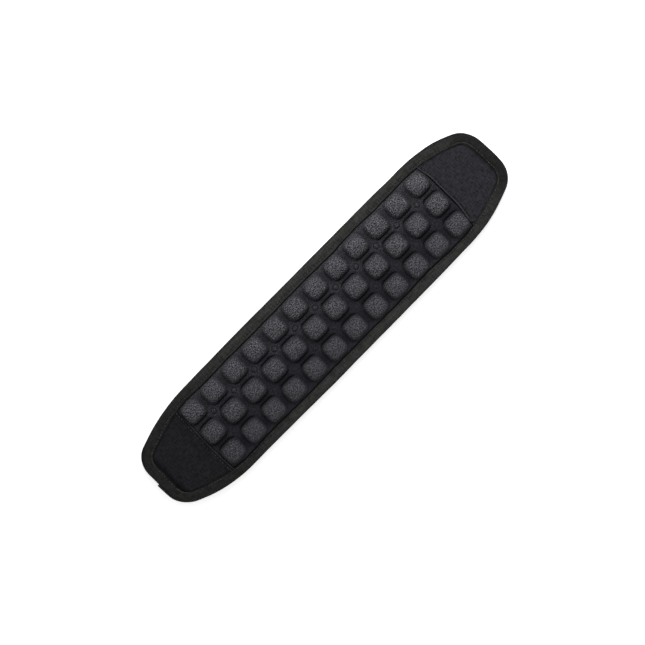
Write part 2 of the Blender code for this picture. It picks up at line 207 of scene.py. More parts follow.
# Painted light on the end panels: an overall painted shade, most on the -X one, a painted
# highlight on the hem's roll, and painted shadow of the binding along their ends and sides
PANEL_PAINTED_SHADE = {"left": 0.51, "right": 0.88}
HEM_ROLL_PAINTED_HIGHLIGHT = {"left": 2.0, "right": 1.2}
PANEL_END_PAINTED_SHADOW = {"left": 0.62, "right": 0.35}
PANEL_END_SHADOW_REACH = {"left": 5.0, "right": 3.2}
PANEL_SIDE_PAINTED_SHADOW = 0.45
PANEL_DENT = {"left": 0.6, "right": 0.1}

# Materials: pitches in metres, and the part of each noise that its colours span
RIB_PITCH = 0.00077
PLY_PITCH = 0.0009
MELANGE_SPAN = (0.36, 0.64)
NOISE_SPAN = (0.3, 0.7)
DUST_SPAN = (0.45, 0.75)

# The back
BACK_INSET = 4.8
FOLD_RADIUS = 0.68
SLEEVE_FLAT_Z = 0.62
SLEEVE_CORNER = 10.0
SLEEVE_SEAM = 4.6
SLEEVE_HALF_THICKNESS = 0.36
HOOK_PITCH = 1.3
GRIP_PITCH = 3.2

rng = np.random.default_rng(7)


def smoothstep(value):
    value = np.clip(value, 0.0, 1.0)
    return value * value * (3 - 2 * value)


def bell(value):
    return np.exp(-value * value)


def darkened(painted_shading, *shares):
    for share in shares:
        painted_shading = painted_shading * (1 - share)
    return painted_shading


def ripple(x, y, length, seed):
    """Gentle irregular waves of unit height over a plane, the same each run."""
    chance = np.random.default_rng(seed)
    total = 0.0
    for _ in range(6):
        heading = chance.uniform(0, math.tau)
        wave = length * chance.uniform(0.6, 1.6)
        phase = chance.uniform(0, math.tau)
        across = x * math.cos(heading) + y * math.sin(heading)
        total = total + np.sin(math.tau * across / wave + phase)
    return total / 3


def vertex_points(mesh):
    points = np.empty(len(mesh.vertices) * 3)
    mesh.vertices.foreach_get("co", points)
    return points.reshape(-1, 3)


def add_object(name, data):
    item = bpy.data.objects.new(name, data)
    bpy.context.scene.collection.objects.link(item)
    return item


def box_mm(node):
    low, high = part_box(node)
    return np.array(low) / MM, np.array(high) / MM


# ------------------------------------------------------------------ meshes


def signed_volume(points, quads):
    first, second, third, fourth = (points[quads[:, k]] for k in range(4))
    turned = np.cross(second, third) + np.cross(third, fourth)
    return np.einsum("ij,ij->", first, turned)


def new_piece(name, points, quads, material, uv, tones=None, caps=()):
    """A closed mesh piece from points in millimetres, with its faces pointing out."""
    points = np.asarray(points, float).reshape(-1, 3) * MM
    quads = np.asarray(quads)
    caps = [list(cap) for cap in caps]
    if signed_volume(points, quads) < 0:
        quads = quads[:, ::-1]
        caps = [cap[::-1] for cap in caps]
    mesh = bpy.data.meshes.new(name)
    mesh.from_pydata(points.tolist(), [], quads.tolist() + caps)
    mesh.materials.append(material)
    corners = np.empty(len(mesh.loops), int)
    mesh.loops.foreach_get("vertex_index", corners)
    layer = mesh.uv_layers.new(name=CLOTH_UV)
    layer.data.foreach_set("uv", (uv.reshape(-1, 2)[corners] * MM).ravel())
    for key, values in (tones or {}).items():
        attribute = mesh.attributes.new(key, "FLOAT", "POINT")
        attribute.data.foreach_set("value", np.asarray(values, np.float32).ravel())
    mesh.shade_smooth()
    mesh.set_sharp_from_angle(angle=SHARP_ANGLE)
    return add_object(name, mesh)


def grid_quads(rows, columns):
    index = np.arange(rows * columns).reshape(rows, columns)
    corners = (index[:-1, :-1], index[1:, :-1], index[1:, 1:], index[:-1, 1:])
    return np.stack(corners, -1).reshape(-1, 4)


def tube_quads(index):
    """Quads round one tube or many, from their points' numbers, shape (..., steps, around)."""
    turned = np.roll(index, -1, axis=-1)
    corners = (index[..., :-1, :], index[..., 1:, :], turned[..., 1:, :], turned[..., :-1, :])
    return np.stack(corners, -1).reshape(-1, 4)


def slab(name, top, bottom, material, uv=None, tones=None):
    """A closed sheet between two grids of points of the same shape."""
    rows, columns = top.shape[:2]
    count = rows * columns
    index = np.arange(count).reshape(rows, columns)
    sides = [index[:-1, 0], index[-1, :-1], index[:0:-1, -1], index[0, :0:-1]]
    border = np.concatenate(sides)
    following = np.roll(border, -1)
    walls = np.stack([border + count, following + count, following, border], -1)
    faces = grid_quads(rows, columns)
    quads = np.concatenate([faces, faces[:, ::-1] + count, walls])
    uv = np.stack([top[..., :2] if uv is None else uv] * 2)
    doubled = {key: np.stack([values] * 2) for key, values in (tones or {}).items()}
    return new_piece(name, np.stack([top, bottom]), quads, material, uv, doubled)


def sweep(name, sections, material, uv, tones):
    """A closed skin through sections, shape (stations, around, 3), with its two ends capped."""
    stations, around = sections.shape[:2]
    index = np.arange(stations * around).reshape(stations, around)
    caps = []
    for ring in (index[0], index[-1, ::-1]):
        for k in range(around // 2 - 1):
            caps.append([ring[k], ring[k + 1], ring[-2 - k], ring[-1 - k]])
    return new_piece(name, sections, tube_quads(index), material, uv, tones, caps)


def rods(name, paths, sides, radii, around, material):
    """Many short bent rods in one mesh. Each has a path of points and a side direction."""
    count, steps = paths.shape[:2]
    along = np.gradient(paths, axis=1)
    along /= np.linalg.norm(along, axis=2, keepdims=True)
    side = np.broadcast_to(sides[:, None, :], along.shape)
    lift = np.cross(side, along)
    angle = math.tau * (np.arange(around) + 0.5) / around - math.pi / 2
    ring = np.cos(angle)[:, None] * side[:, :, None] + np.sin(angle)[:, None] * lift[:, :, None]
    points = paths[:, :, None, :] + radii[:, None, None] * ring
    index = np.arange(count * steps * around).reshape(count, steps, around)
    caps = [*index[:, 0, ::-1], *index[:, -1]]
    lengths = np.linalg.norm(np.diff(paths, axis=1, prepend=paths[:, :1]), axis=2).cumsum(axis=1)
    u = np.broadcast_to(lengths[:, :, None], index.shape)
    v = np.broadcast_to(np.arange(around) / around, index.shape)
    uv = np.stack([u, v], -1)
    return new_piece(name, points, tube_quads(index), material, uv, caps=caps)


# --------------------------------------------------------------- materials


class Shader:
    """Builds one material's nodes. Each call returns the new node's output."""

    def __init__(self, name, roughness, sheen=0.0, specular=0.06):
        self.material = bpy.data.materials.new(name)
        self.material.use_nodes = True
        self.tree = self.material.node_tree
        self.surface = self.tree.nodes["Principled BSDF"]
        self.surface.inputs["Roughness"].default_value = roughness
        self.surface.inputs["Specular IOR Level"].default_value = specular
        self.surface.inputs["Sheen Weight"].default_value = sheen
        self.surface.inputs["Sheen Roughness"].default_value = 0.45

    def node(self, kind, inputs, output=0, **settings):
        node = self.tree.nodes.new(kind)
        for key, value in settings.items():
            setattr(node, key, value)
        for socket, value in inputs.items():
            self.put(node.inputs[socket], value)
        return node.outputs[output]

    def put(self, socket, value):
        if isinstance(value, bpy.types.NodeSocket):
            self.tree.links.new(value, socket)
        else:
            socket.default_value = value

    def math(self, operation, *values):
        return self.node("ShaderNodeMath", dict(enumerate(values)), operation=operation)

    def product(self, total, *factors):
        for factor in factors:
            total = self.math("MULTIPLY", total, factor)
        return total

    def cloth(self):
        """The two cloth coordinates, in metres."""
        uv = self.node("ShaderNodeUVMap", {}, uv_map=CLOTH_UV)
        apart = self.node("ShaderNodeSeparateXYZ", {0: uv}).node
        return apart.outputs[0], apart.outputs[1]

    def place(self):
        return self.node("ShaderNodeTexCoord", {}, output=3)

    def attribute(self, name):
        return self.node("ShaderNodeAttribute", {}, output=2, attribute_name=name)

    def noise(self, vector, scale, detail=2.0, roughness=0.5):
        inputs = {"Vector": vector, "Scale": scale, "Detail": detail, "Roughness": roughness}
        return self.node("ShaderNodeTexNoise", inputs)

    def stretched_noise(self, x, y, length_x, length_y, detail=1.0):
        """Noise whose grain has its own length, in metres, along each cloth direction."""
        scaled = {0: self.math("DIVIDE", x, length_x), 1: self.math("DIVIDE", y, length_y)}
        return self.noise(self.node("ShaderNodeCombineXYZ", scaled), 1.0, detail)

    def span(self, value, low, high, to_low=0.0, to_high=1.0):
        inputs = {0: value, 1: low, 2: high, 3: to_low, 4: to_high}
        return self.node("ShaderNodeMapRange", inputs)

    def plain_weave(self, x, y, pitch):
        """Height of the threads of a plain weave, from 0 to 1."""
        turn_x, turn_y = (self.math("SINE", self.product(c, math.pi / pitch)) for c in (x, y))
        both = self.product(turn_x, turn_y)
        warp = self.math("ADD", self.math("ABSOLUTE", turn_x), both)
        weft = self.math("SUBTRACT", self.math("ABSOLUTE", turn_y), both)
        return self.product(self.math("MAXIMUM", warp, weft), 0.5)

    def melange(self, x, y, fine, long):
        """Uneven tone of single threads in both directions, about 0.5."""
        warp = self.stretched_noise(x, y, fine, long)
        weft = self.stretched_noise(x, y, long, fine)
        return self.product(self.math("ADD", warp, weft), 0.5)

    def mix(self, factor, first, second):
        inputs = {0: factor, 6: (*first, 1.0), 7: (*second, 1.0)}
        return self.node("ShaderNodeMix", inputs, output=2, data_type="RGBA")

    def finish(self, colour, height, depth, strength=1.0, tone=None, roughness=None):
        """Joins the colour, made lighter or darker by a tone, and the bump.

        A bump height of 1 stands for a depth in metres.
        """
        if tone is not None:
            inputs = {0: colour, 3: tone}
            colour = self.node("ShaderNodeVectorMath", inputs, operation="SCALE")
        if roughness is not None:
            self.put(self.surface.inputs["Roughness"], roughness)
        self.put(self.surface.inputs["Base Color"], colour)
        inputs = {"Height": height, "Distance": depth, "Strength": strength}
        self.put(self.surface.inputs["Normal"], self.node("ShaderNodeBump", inputs))
        return self.material


def cover_material():
    """Fine knit over the cells: pale and grainy where it is stretched, dark in the valleys, with
    painted light and painted crease shade from the mesh's attributes.
    """
    shader = Shader("cover_fabric_look", 0.82, sheen=0.04)
    x, y = shader.cloth()
    weave = shader.plain_weave(x, y, 0.00042)
    grain = shader.melange(x, y, 0.0009, 0.0026)
    specks = shader.stretched_noise(x, y, 0.00064, 0.0009, 0.0)
    patches = shader.stretched_noise(x, y, 0.006, 0.006, 2.0)
    # stretch: paler where the cloth is stretched over the cells, with painted light added to it
    # where the cover is built
    stretch = shader.attribute("stretch")
    painted_crease_shade = shader.attribute("painted_crease_shade")
    base = shader.mix(stretch, (0.0135, 0.0129, 0.0172), (0.0630, 0.0617, 0.0693))
    contrast = shader.product(
        shader.span(grain, *MELANGE_SPAN, 0.6, 1.4),
        shader.span(specks, 0.34, 0.66, 0.0, 2.0),
    )
    share = shader.span(stretch, 0.0, 1.0, 0.4, 1.0)
    tone = shader.product(
        shader.math("MULTIPLY_ADD", shader.math("SUBTRACT", contrast, 1.0), share, 1.0),
        shader.span(weave, 0.0, 1.0, 0.62, 1.2),
        shader.span(patches, *NOISE_SPAN, 0.93, 1.07),
        # painted shade in the creases, which turns the cloth near black there
        shader.span(painted_crease_shade, 0.0, 1.0, 1.0, 0.06),
    )
    return shader.finish(base, weave, 0.00012, 0.8, tone)


def woven_material(name, dark, light, pitch, with_painted_shading=False):
    """A close plain weave with uneven threads and a little fading in soft patches."""
    shader = Shader(name, 0.85, sheen=0.04)
    x, y = shader.cloth()
    weave = shader.plain_weave(x, y, pitch)
    grain = shader.melange(x, y, pitch * 2.1, pitch * 9)
    patches = shader.stretched_noise(x, y, 0.012, 0.012, 3.0)
    base = shader.mix(shader.span(grain, *MELANGE_SPAN), dark, light)
    tone = shader.product(
        shader.span(weave, 0.0, 1.0, 0.6, 1.2),
        shader.span(patches, *NOISE_SPAN, 0.92, 1.08),
    )
    # the panels' painted light and shade, kept on the mesh
    if with_painted_shading:
        tone = shader.product(tone, shader.attribute("painted_shading"))
    return shader.finish(base, weave, 0.00011, 0.8, tone)


def tape_material():
    """Ribbed tape: ribs run across it, with finer threads over them."""
    shader = Shader("binding_tape_look", 0.78, sheen=0.05)
    x, y = shader.cloth()
    rib = shader.math("ABSOLUTE", shader.math("SINE", shader.product(x, math.pi / RIB_PITCH)))
    weave = shader.plain_weave(x, y, RIB_PITCH / 2)
    height = shader.math("ADD", rib, shader.product(weave, 0.8))
    grain = shader.melange(x, y, 0.0011, 0.006)
    patches = shader.stretched_noise(x, y, 0.02, 0.006, 3.0)
    between = shader.span(grain, *MELANGE_SPAN)
    base = shader.mix(between, (0.0166, 0.0167, 0.0159), (0.0390, 0.0392, 0.0378))
    tone = shader.product(
        shader.span(height, 0.0, 1.6, 0.7, 1.15),
        shader.span(patches, *NOISE_SPAN, 0.85, 1.15),
        # painted shading along the tape, kept on the mesh
        shader.attribute("painted_shading"),
    )
    return shader.finish(base, height, 0.00009, 0.8, tone)


def thread_material():
    """Two-ply thread: a bright and a dark stripe wind round each stitch."""
    shader = Shader("thread_look", 0.6, sheen=0.1)
    x, y = shader.cloth()
    turn_x = shader.product(x, math.tau / PLY_PITCH)
    winding = shader.math("ADD", turn_x, shader.product(y, math.tau / MM))
    ply = shader.span(shader.math("SINE", winding), -1.0, 1.0)
    fuzz = shader.noise(shader.place(), 2500.0, 2.0)
    wear = shader.noise(shader.place(), 260.0, 1.0)
    base = shader.mix(ply, (0.022, 0.022, 0.021), (0.066, 0.066, 0.062))
    tone = shader.product(
        shader.span(fuzz, *NOISE_SPAN, 0.7, 1.3),
        shader.span(wear, *NOISE_SPAN, 0.4, 1.6),
    )
    return shader.finish(base, ply, 0.00008, tone=tone)


def pile_material():
    """Napped loops: a soft tangle with strong sheen."""
    shader = Shader("loop_pile_look", 1.0, sheen=0.35)
    fine = shader.noise(shader.place(), 1800.0, 4.0, 0.65)
    patches = shader.noise(shader.place(), 160.0, 3.0)
    between = shader.span(fine, *NOISE_SPAN)
    base = shader.mix(between, (0.008, 0.008, 0.009), (0.040, 0.040, 0.043))
    tone = shader.span(patches, *NOISE_SPAN, 0.75, 1.25)
    return shader.finish(base, fine, 0.0004, tone=tone)


def hook_material():
    """Moulded nylon, slightly glossy, with a fine haze of dust."""
    shader = Shader("hook_tape_look", 0.42, specular=0.5)
    dust = shader.noise(shader.place(), 900.0, 4.0, 0.6)
    between = shader.span(dust, *DUST_SPAN)
    base = shader.mix(between, (0.022, 0.022, 0.024), (0.060, 0.060, 0.058))
    roughness = shader.span(dust, *NOISE_SPAN, 0.36, 0.6)
    return shader.finish(base, dust, 0.00004, roughness=roughness)


def rubber_material():
    """Soft anti-slip rubber with a fine skin texture and dust in its lows."""
    shader = Shader("grip_rubber_look", 0.55, specular=0.45)
    skin = shader.noise(shader.place(), 2200.0, 3.0, 0.6)
    dust = shader.noise(shader.place(), 120.0, 4.0, 0.65)
    between = shader.span(dust, *DUST_SPAN)
    base = shader.mix(between, (0.026, 0.026, 0.028), (0.058, 0.057, 0.055))
    roughness = shader.span(dust, *NOISE_SPAN, 0.45, 0.7)
    return shader.finish(base, skin, 0.00006, roughness=roughness)


def film_material():
    """Translucent thermoformed film with flow marks."""
    shader = Shader("cell_film_look", 0.25, specular=0.5)
    flow = shader.noise(shader.place(), 90.0, 4.0, 0.6)
    base = shader.mix(shader.span(flow, *NOISE_SPAN), (0.52, 0.55, 0.58), (0.68, 0.70, 0.72))
    shader.surface.inputs["Transmission Weight"].default_value = 0.5
    roughness = shader.span(flow, *NOISE_SPAN, 0.18, 0.36)
    return shader.finish(base, flow, 0.00005, roughness=roughness)


def foam_material():
    """Closed-cell foam: small open bubbles in a dark grey skin."""
    shader = Shader("foam_look", 0.95, specular=0.2)
    bubbles = shader.node("ShaderNodeTexVoronoi", {"Vector": shader.place(), "Scale": 1400.0})
    base = shader.mix(shader.span(bubbles, 0.1, 0.6), (0.05, 0.05, 0.055), (0.12, 0.12, 0.13))
    return shader.finish(base, bubbles, 0.0003)


def panel_material():
    dark, light = (0.0115, 0.0111, 0.0140), (0.0340, 0.0328, 0.0385)
    return woven_material("panel_fabric_look", dark, light, 0.00045, with_painted_shading=True)


def back_material():
    dark, light = (0.012, 0.012, 0.013), (0.032, 0.032, 0.034)
    return woven_material("back_fabric_look", dark, light, 0.0005)


def make_materials():
    return {
        "cover_fabric": cover_material(),
        "panel_fabric": panel_material(),
        "back_fabric": back_material(),
        "binding_tape": tape_material(),
        "thread": thread_material(),
        "loop_pile": pile_material(),
        "hook_tape": hook_material(),
        "grip_rubber": rubber_material(),
        "cell_film": film_material(),
        "foam": foam_material(),
    }


def place_piece(piece, nodes=(), body="pad"):
    """Hides the CAD nodes that a piece stands for and puts it on the body that it rides on."""
    if nodes:
        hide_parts(*nodes)
    if body:
        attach(piece, body)


# -------------------------------------------------------- the pad's outline


def corner_arc(before, corner, after, radius):
    """Points of the arc that rounds one corner, as complex numbers."""
    if radius == 0:
        return [corner]
    back = (before - corner) / abs(before - corner)
    ahead = (after - corner) / abs(after - corner)
    half = abs(np.angle(ahead / back)) / 2
    inwards = (back + ahead) / abs(back + ahead)
    centre = corner + inwards * radius / math.sin(half)
    start = corner + back * radius / math.tan(half) - centre
    turn = math.pi - 2 * half
    steps = max(3, int(turn * radius / ARC_STEP))
    return [centre + start * np.exp(1j * turn * k / steps) for k in range(steps + 1)]


def rounded_outline(corners, radii):
    """A closed outline with a radius at each corner, where it starts and ends."""
    points = []
    for i, corner in enumerate(corners):
        points += corner_arc(corners[i - 1], corner, corners[(i + 1) % len(corners)], radii[i])
    return np.array(points + points[:1])


def edge_points():
    """The pad's closed outline, counter-clockwise from the middle of its -X end."""
    half = [
        complex(-HALF_LENGTH, 0),
        complex(END_BOW - HALF_LENGTH, -END_HALF_WIDTH),
        complex(-SHOULDER_X, -SHOULDER_HALF_WIDTH),
        complex(0, -HALF_WIDTH),
        complex(SHOULDER_X, -SHOULDER_HALF_WIDTH),
        complex(HALF_LENGTH - END_BOW, -END_HALF_WIDTH),
    ]
    radii = [0, END_CORNER_RADIUS, SHOULDER_RADIUS, 0, SHOULDER_RADIUS, END_CORNER_RADIUS]
    return rounded_outline(half + [-corner for corner in half], radii * 2)


EDGE = edge_points()
EDGE_TRAVEL = np.concatenate([[0.0], np.abs(np.diff(EDGE)).cumsum()])
EDGE_LENGTH = EDGE_TRAVEL[-1]
EVEN_TRAVEL = np.arange(0.0, EDGE_LENGTH, ARC_STEP)


def edge_at(travel):
    """Points of the edge and its inward normals, at distances from the lap."""
    def point(distance):
        wrapped = (distance - LAP_Y) % EDGE_LENGTH
        x = np.interp(wrapped, EDGE_TRAVEL, EDGE.real)
        return x + 1j * np.interp(wrapped, EDGE_TRAVEL, EDGE.imag)

    along = point(travel + NORMAL_REACH) - point(travel - NORMAL_REACH)
    return point(travel), 1j * along / np.abs(along)


def half_width_at(x, inset, side=-1):
    """How far the edge, moved inwards, is from the pad's middle line on one long side.

    The inset is one distance, or one for each place in EVEN_TRAVEL.
    """
    point, inwards = edge_at(EVEN_TRAVEL)
    moved = point + inwards * inset
    chosen = moved[moved.imag * side > 0]
    order = np.argsort(chosen.real)
    return np.interp(x, chosen.real[order], np.abs(chosen.imag[order]))


# ------------------------------------------------------------ edge binding


def end_share(point):
    """How far a point of the edge belongs to one of the pad's ends, where the tape widens."""
    return smoothstep((np.abs(point.real) - WIDENING_X) / WIDENING_REACH)


def seam_inset(point):
    return SEAM_INSET + (SEAM_END_INSET - SEAM_INSET) * end_share(point)


def lap_share(travel):
    """How far the top tape still stands proud of the tape's end under it."""
    return 1 - smoothstep((travel - LAP_LENGTH + 1) / LAP_FADE)


def binding_waves(travel):
    """Small unevenness of the sewn tape: of its edge, its inner edge and its height."""
    nothing = 0 * travel
    outer = EDGE_BULGE + 0.05 * ripple(travel, nothing, 20, 1)
    for place, reach, amount in EDGE_WAVES:
        outer = outer + amount * bell((travel - place) / reach)
    inner = 0.48 * ripple(travel, nothing, 34, 2) + 0.14 * ripple(travel, nothing, 12, 5)
    height = 0.10 * ripple(travel, nothing, 23, 3)
    return outer, inner, height


def tape_width(travel):
    """Width of the tape's front leg, which is broader round the pad's ends."""
    point = edge_at(travel)[0]
    uneven = TAPE_UNEVENNESS * point.imag / HALF_WIDTH + binding_waves(travel)[1]
    return TAPE_WIDTH + (TAPE_END_WIDTH - TAPE_WIDTH) * end_share(point) + uneven


def moved_for_tape(inset, travel, width):
    """Insets of the tape's points, after its edge is moved by its waves and its lap."""
    outer = binding_waves(travel)[0] + LAP_RISE * lap_share(travel)
    return inset - outer[:, None] * (1 - inset / (width + 1))


def binding_lines(travel):
    """Middle line of the tape's section at each station: its insets and its heights."""
    half = (TAPE_TOP_Z - TAPE_BOTTOM_Z) / 2
    middle = (TAPE_TOP_Z + TAPE_BOTTOM_Z) / 2
    point = edge_at(travel)[0][:, None]
    inner, height = (wave[:, None] for wave in binding_waves(travel)[1:])
    width = tape_width(travel)[:, None]
    seam = seam_inset(point)
    hole = np.abs(np.cos(math.pi * travel[:, None] / STITCH_PITCH)) ** 10

    front = width + (TAPE_NOSE_INSET - width) * np.linspace(0, 1, 17)
    over = (front - TAPE_NOSE_INSET) / (seam - TAPE_NOSE_INSET)
    puff = TAPE_PUFF * np.sin(math.pi * np.clip(over, 0, 1))
    groove = (0.16 + 0.22 * hole) * bell((front - seam) / SEAM_SPREAD)
    pull = 0.12 * bell((front - seam) / 1.5)
    front_z = TAPE_TOP_Z + puff - groove - pull + height

    turn = np.linspace(math.pi / 2, -math.pi / 2, 13)[1:-1]
    arc = TAPE_NOSE_INSET - (TAPE_NOSE_INSET - TAPE_THICKNESS / 2) * np.cos(turn)
    arc_z = middle + (half + height) * np.sin(turn)

    back_width = TAPE_BACK_WIDTH + BACK_END_WIDENING * end_share(point) - inner
    back = TAPE_NOSE_INSET + (back_width - TAPE_NOSE_INSET) * np.linspace(0, 1, 11)
    back_z = TAPE_BOTTOM_Z + (0.14 + 0.2 * hole) * bell((back - seam) / SEAM_SPREAD)

    inset = np.concatenate([front, np.broadcast_to(arc, arc_z.shape), back], axis=1)
    z = np.concatenate([front_z, arc_z, back_z], axis=1)
    thicker = LAP_THICKENING * lap_share(travel)[:, None]
    z = z + thicker * np.clip((z - middle) / half, -1, 1)
    return moved_for_tape(inset, travel, width), z


def painted_tape_shading(travel, point, inset):
    """Painted shading of the tape: painted shade towards the -X end and from the middle to the
    +X end where the lamp is near, darker round the +X end, and painted shade in the seam's
    groove and needle holes, on the selvedge and on the nose, most on the +Y side that faces the
    lamp.
    """
    left = smoothstep((-point.real - 55) / 85)
    right = smoothstep((point.real - 80) / 55)
    end = smoothstep((point.real - 158) / 14)
    hole = bell(from_needle_hole(travel) / 0.45)[:, None]
    along_seam = bell((inset - seam_inset(point)) / SEAM_SPREAD) * (0.3 + 0.65 * hole)
    selvedge = smoothstep((inset - tape_width(travel)[:, None] + 0.5) / 0.4)
    lit = smoothstep(point.imag / 30)
    nose = (0.45 + 0.2 * lit) * smoothstep((1.6 - inset) / 1.4)
    return darkened(1, 0.5 * left, 0.25 * right, 0.45 * end, along_seam, 0.5 * selvedge, nose)


def make_binding(materials):
    """One length of tape folded over the edge, its ends lapped at the -X end."""
    travel = np.arange(0.0, EDGE_LENGTH + LAP_LENGTH, STATION)
    inset, z = binding_lines(travel)
    along_inset = np.gradient(inset, axis=1)
    along_z = np.gradient(z, axis=1)
    length = np.hypot(along_inset, along_z)
    normal_inset = along_z / length
    normal_z = -along_inset / length
    across = np.concatenate([np.zeros((len(travel), 1)), length[:, 1:].cumsum(axis=1)], axis=1)
    half = np.full(inset.shape[1], TAPE_THICKNESS / 2)
    half[[0, -1]] *= SELVEDGE_THINNING
    ring_inset, ring_z = (
        np.concatenate([line + normal * half, (line - normal * half)[:, ::-1]], axis=1)
        for line, normal in ((inset, normal_inset), (z, normal_z))
    )
    point, inwards = edge_at(travel)
    place = point[:, None] + inwards[:, None] * ring_inset
    sections = np.stack([place.real, place.imag, ring_z], -1)
    v = np.concatenate([across, across[:, ::-1]], axis=1)
    u = np.broadcast_to(travel[:, None], v.shape)
    # Painted shade on the tape: towards its ends, in its seam, on its selvedge and on its nose
    painted_shading = painted_tape_shading(travel, point[:, None], ring_inset)
    uv = np.stack([u, v], -1)
    piece = sweep("binding_tape", sections, materials["binding_tape"], uv, {"painted_shading": painted_shading})
    place_piece(piece, ["edge_binding"])


# ------------------------------------------------------------------ stitches


def in_space(place, z):
    """Points in space over complex points of the pad's plane."""
    return np.stack([place.real, place.imag, np.broadcast_to(z, place.shape)], -1)


def from_needle_hole(travel):
    """Distance along a seam from the nearest needle hole."""
    return ((travel / STITCH_PITCH + 0.5) % 1 - 0.5) * STITCH_PITCH


def stitch_row(name, place, along, z, up, material):
    """One rod for each stitch: it comes up through the cloth, lies on it and goes down.

    The places and directions are complex; up is 1 on a face that looks up, otherwise -1.
    """
    centres = in_space(place, z)
    alongs = in_space(along, 0.0)
    count = len(centres)
    ups = np.tile([0.0, 0.0, up], (count, 1))
    turn = rng.normal(0, 0.07, count)[:, None]
    sides = np.cross(alongs, ups)
    alongs = alongs + sides * turn
    alongs /= np.linalg.norm(alongs, axis=1, keepdims=True)
    sides = np.cross(alongs, ups)
    centres = centres + sides * rng.normal(0, 0.1, count)[:, None]
    shares = np.array([-1.0, -0.93, -0.72, -0.35, 0.0, 0.35, 0.72, 0.93, 1.0])
    lifts = np.array([-2.6, -1.2, -0.1, 0.45, 0.6, 0.45, -0.1, -1.2, -2.6]) * THREAD_RADIUS
    length = STITCH_LENGTH * rng.uniform(0.82, 1.08, count)
    reach = shares[:, None] * length[:, None, None] / 2
    paths = centres[:, None] + alongs[:, None] * reach + ups[:, None] * lifts[:, None]
    radii = THREAD_RADIUS * np.array([0.8, 0.95, 1.05, 1.1, 1.1, 1.1, 1.05, 0.95, 0.8])
    return rods(name, paths, sides, radii, 7, material)


def edge_stitches(name, node, z, up, materials):
    """The binding's row of stitches, on its front or its back."""
    travel = np.arange(0.6, EDGE_LENGTH - 1.0, STITCH_PITCH) + STITCH_PITCH / 2
    point, inwards = edge_at(travel)
    inset = moved_for_tape(seam_inset(point)[:, None], travel, TAPE_WIDTH)[:, 0]
    z = z + up * LAP_THICKENING * lap_share(travel)
    if up > 0:
        z = z + binding_waves(travel)[2]
    row = stitch_row(name, point + inwards * inset, -1j * inwards, z, up, materials["thread"])
    place_piece(row, [node])


def outline_stitches(name, outline, z, up, material):
    """Stitches along an outline of complex points at one height."""
    outline = np.array(outline)
    travel = np.concatenate([[0.0], np.abs(np.diff(outline)).cumsum()])
    count = int(travel[-1] / STITCH_PITCH)
    middles = (np.arange(count) + 0.5) * travel[-1] / count
    def point(distance):
        x = np.interp(distance, travel, outline.real)
        return x + 1j * np.interp(distance, travel, outline.imag)

    along = point(middles + 0.6) - point(middles - 0.6)
    return stitch_row(name, point(middles), along / np.abs(along), z, up, material)


def strip_stitches(name, strip, z, body, materials):
    """The row of stitches round a strip of the closure, seen from below."""
    low, high = box_mm(strip)
    half, y_low, y_high = high[0] - STRIP_SEAM, low[1] + STRIP_SEAM, high[1] - STRIP_SEAM
    corners = [
        complex(-half, y_low),
        complex(half, y_low),
        complex(half, y_high),
        complex(-half, y_high),
    ]
    outline = rounded_outline(corners, [STRIP_RADIUS - STRIP_SEAM] * 4)
    row = outline_stitches(name, outline, z, -1, materials["thread"])
    place_piece(row, [f"{strip}_thread"], body)


# --------------------------------------------------------------- front cover


def columns_of_cells():
    return (np.arange(COLUMNS) - (COLUMNS - 1) / 2) * PITCH_X


def rows_of_cells():
    return (np.arange(ROWS) - (ROWS - 1) / 2) * PITCH_Y


def crossings():
    return (np.arange(COLUMNS - 1) - (COLUMNS - 2) / 2) * PITCH_X


def crowded(centres, pitch):
    """Grid lines across a row of cells, closest together in the gaps between them."""
    share = np.linspace(-1, 1, GRID_STEPS + 1)[:-1]
    offsets = pitch / 2 * (share + GRID_CROWDING * np.sin(math.pi * share) / math.pi)
    return (centres[:, None] + offsets).ravel()


def cover_lines():
    """Where the cover's grid lines run, with a few more beyond the cells on each side."""
    beyond_x = PITCH_X * COLUMNS / 2 + np.array([0.0, 0.5, 1.1, 2.0, 3.5])
    beyond_y = PITCH_Y * ROWS / 2 + np.array([0.0, 0.35, 0.7, 1.1, 1.6, 2.6])
    x_lines = [-beyond_x[:0:-1], crowded(columns_of_cells(), PITCH_X), beyond_x]
    y_lines = [-beyond_y[:0:-1], crowded(rows_of_cells(), PITCH_Y), beyond_y]
    return np.concatenate(x_lines), np.concatenate(y_lines)


def cell_outline(x, y, half_x, half_y):
    """Depth inside a cell's rounded outline, and how squarely its nearest side faces along Y."""
    beyond_x = np.abs(x) - half_x + CELL_RADIUS
    beyond_y = np.abs(y) - half_y + CELL_RADIUS
    corner = np.hypot(np.maximum(beyond_x, 0), np.maximum(beyond_y, 0))
    depth = CELL_RADIUS - corner - np.minimum(np.maximum(beyond_x, beyond_y), 0)
    facing = np.maximum(beyond_y, 0) / np.maximum(corner, 0.01)
    return depth, facing


def cell_height(x, y, half_x, half_y, crown, depth):
    """Height of one cell over its valley, at offsets from its centre."""
    wall = np.clip(depth / CELL_WALL_WIDTH, 0, 1)
    rise = np.sin(wall * math.pi / 2)
    dome_x = 1 - np.clip(np.abs(x) / half_x, 0, 1) ** CELL_PILLOW
    dome_y = 1 - np.clip(np.abs(y) / half_y, 0, 1) ** CELL_PILLOW
    return CELL_WALL_HEIGHT * rise + crown * dome_x * dome_y * wall


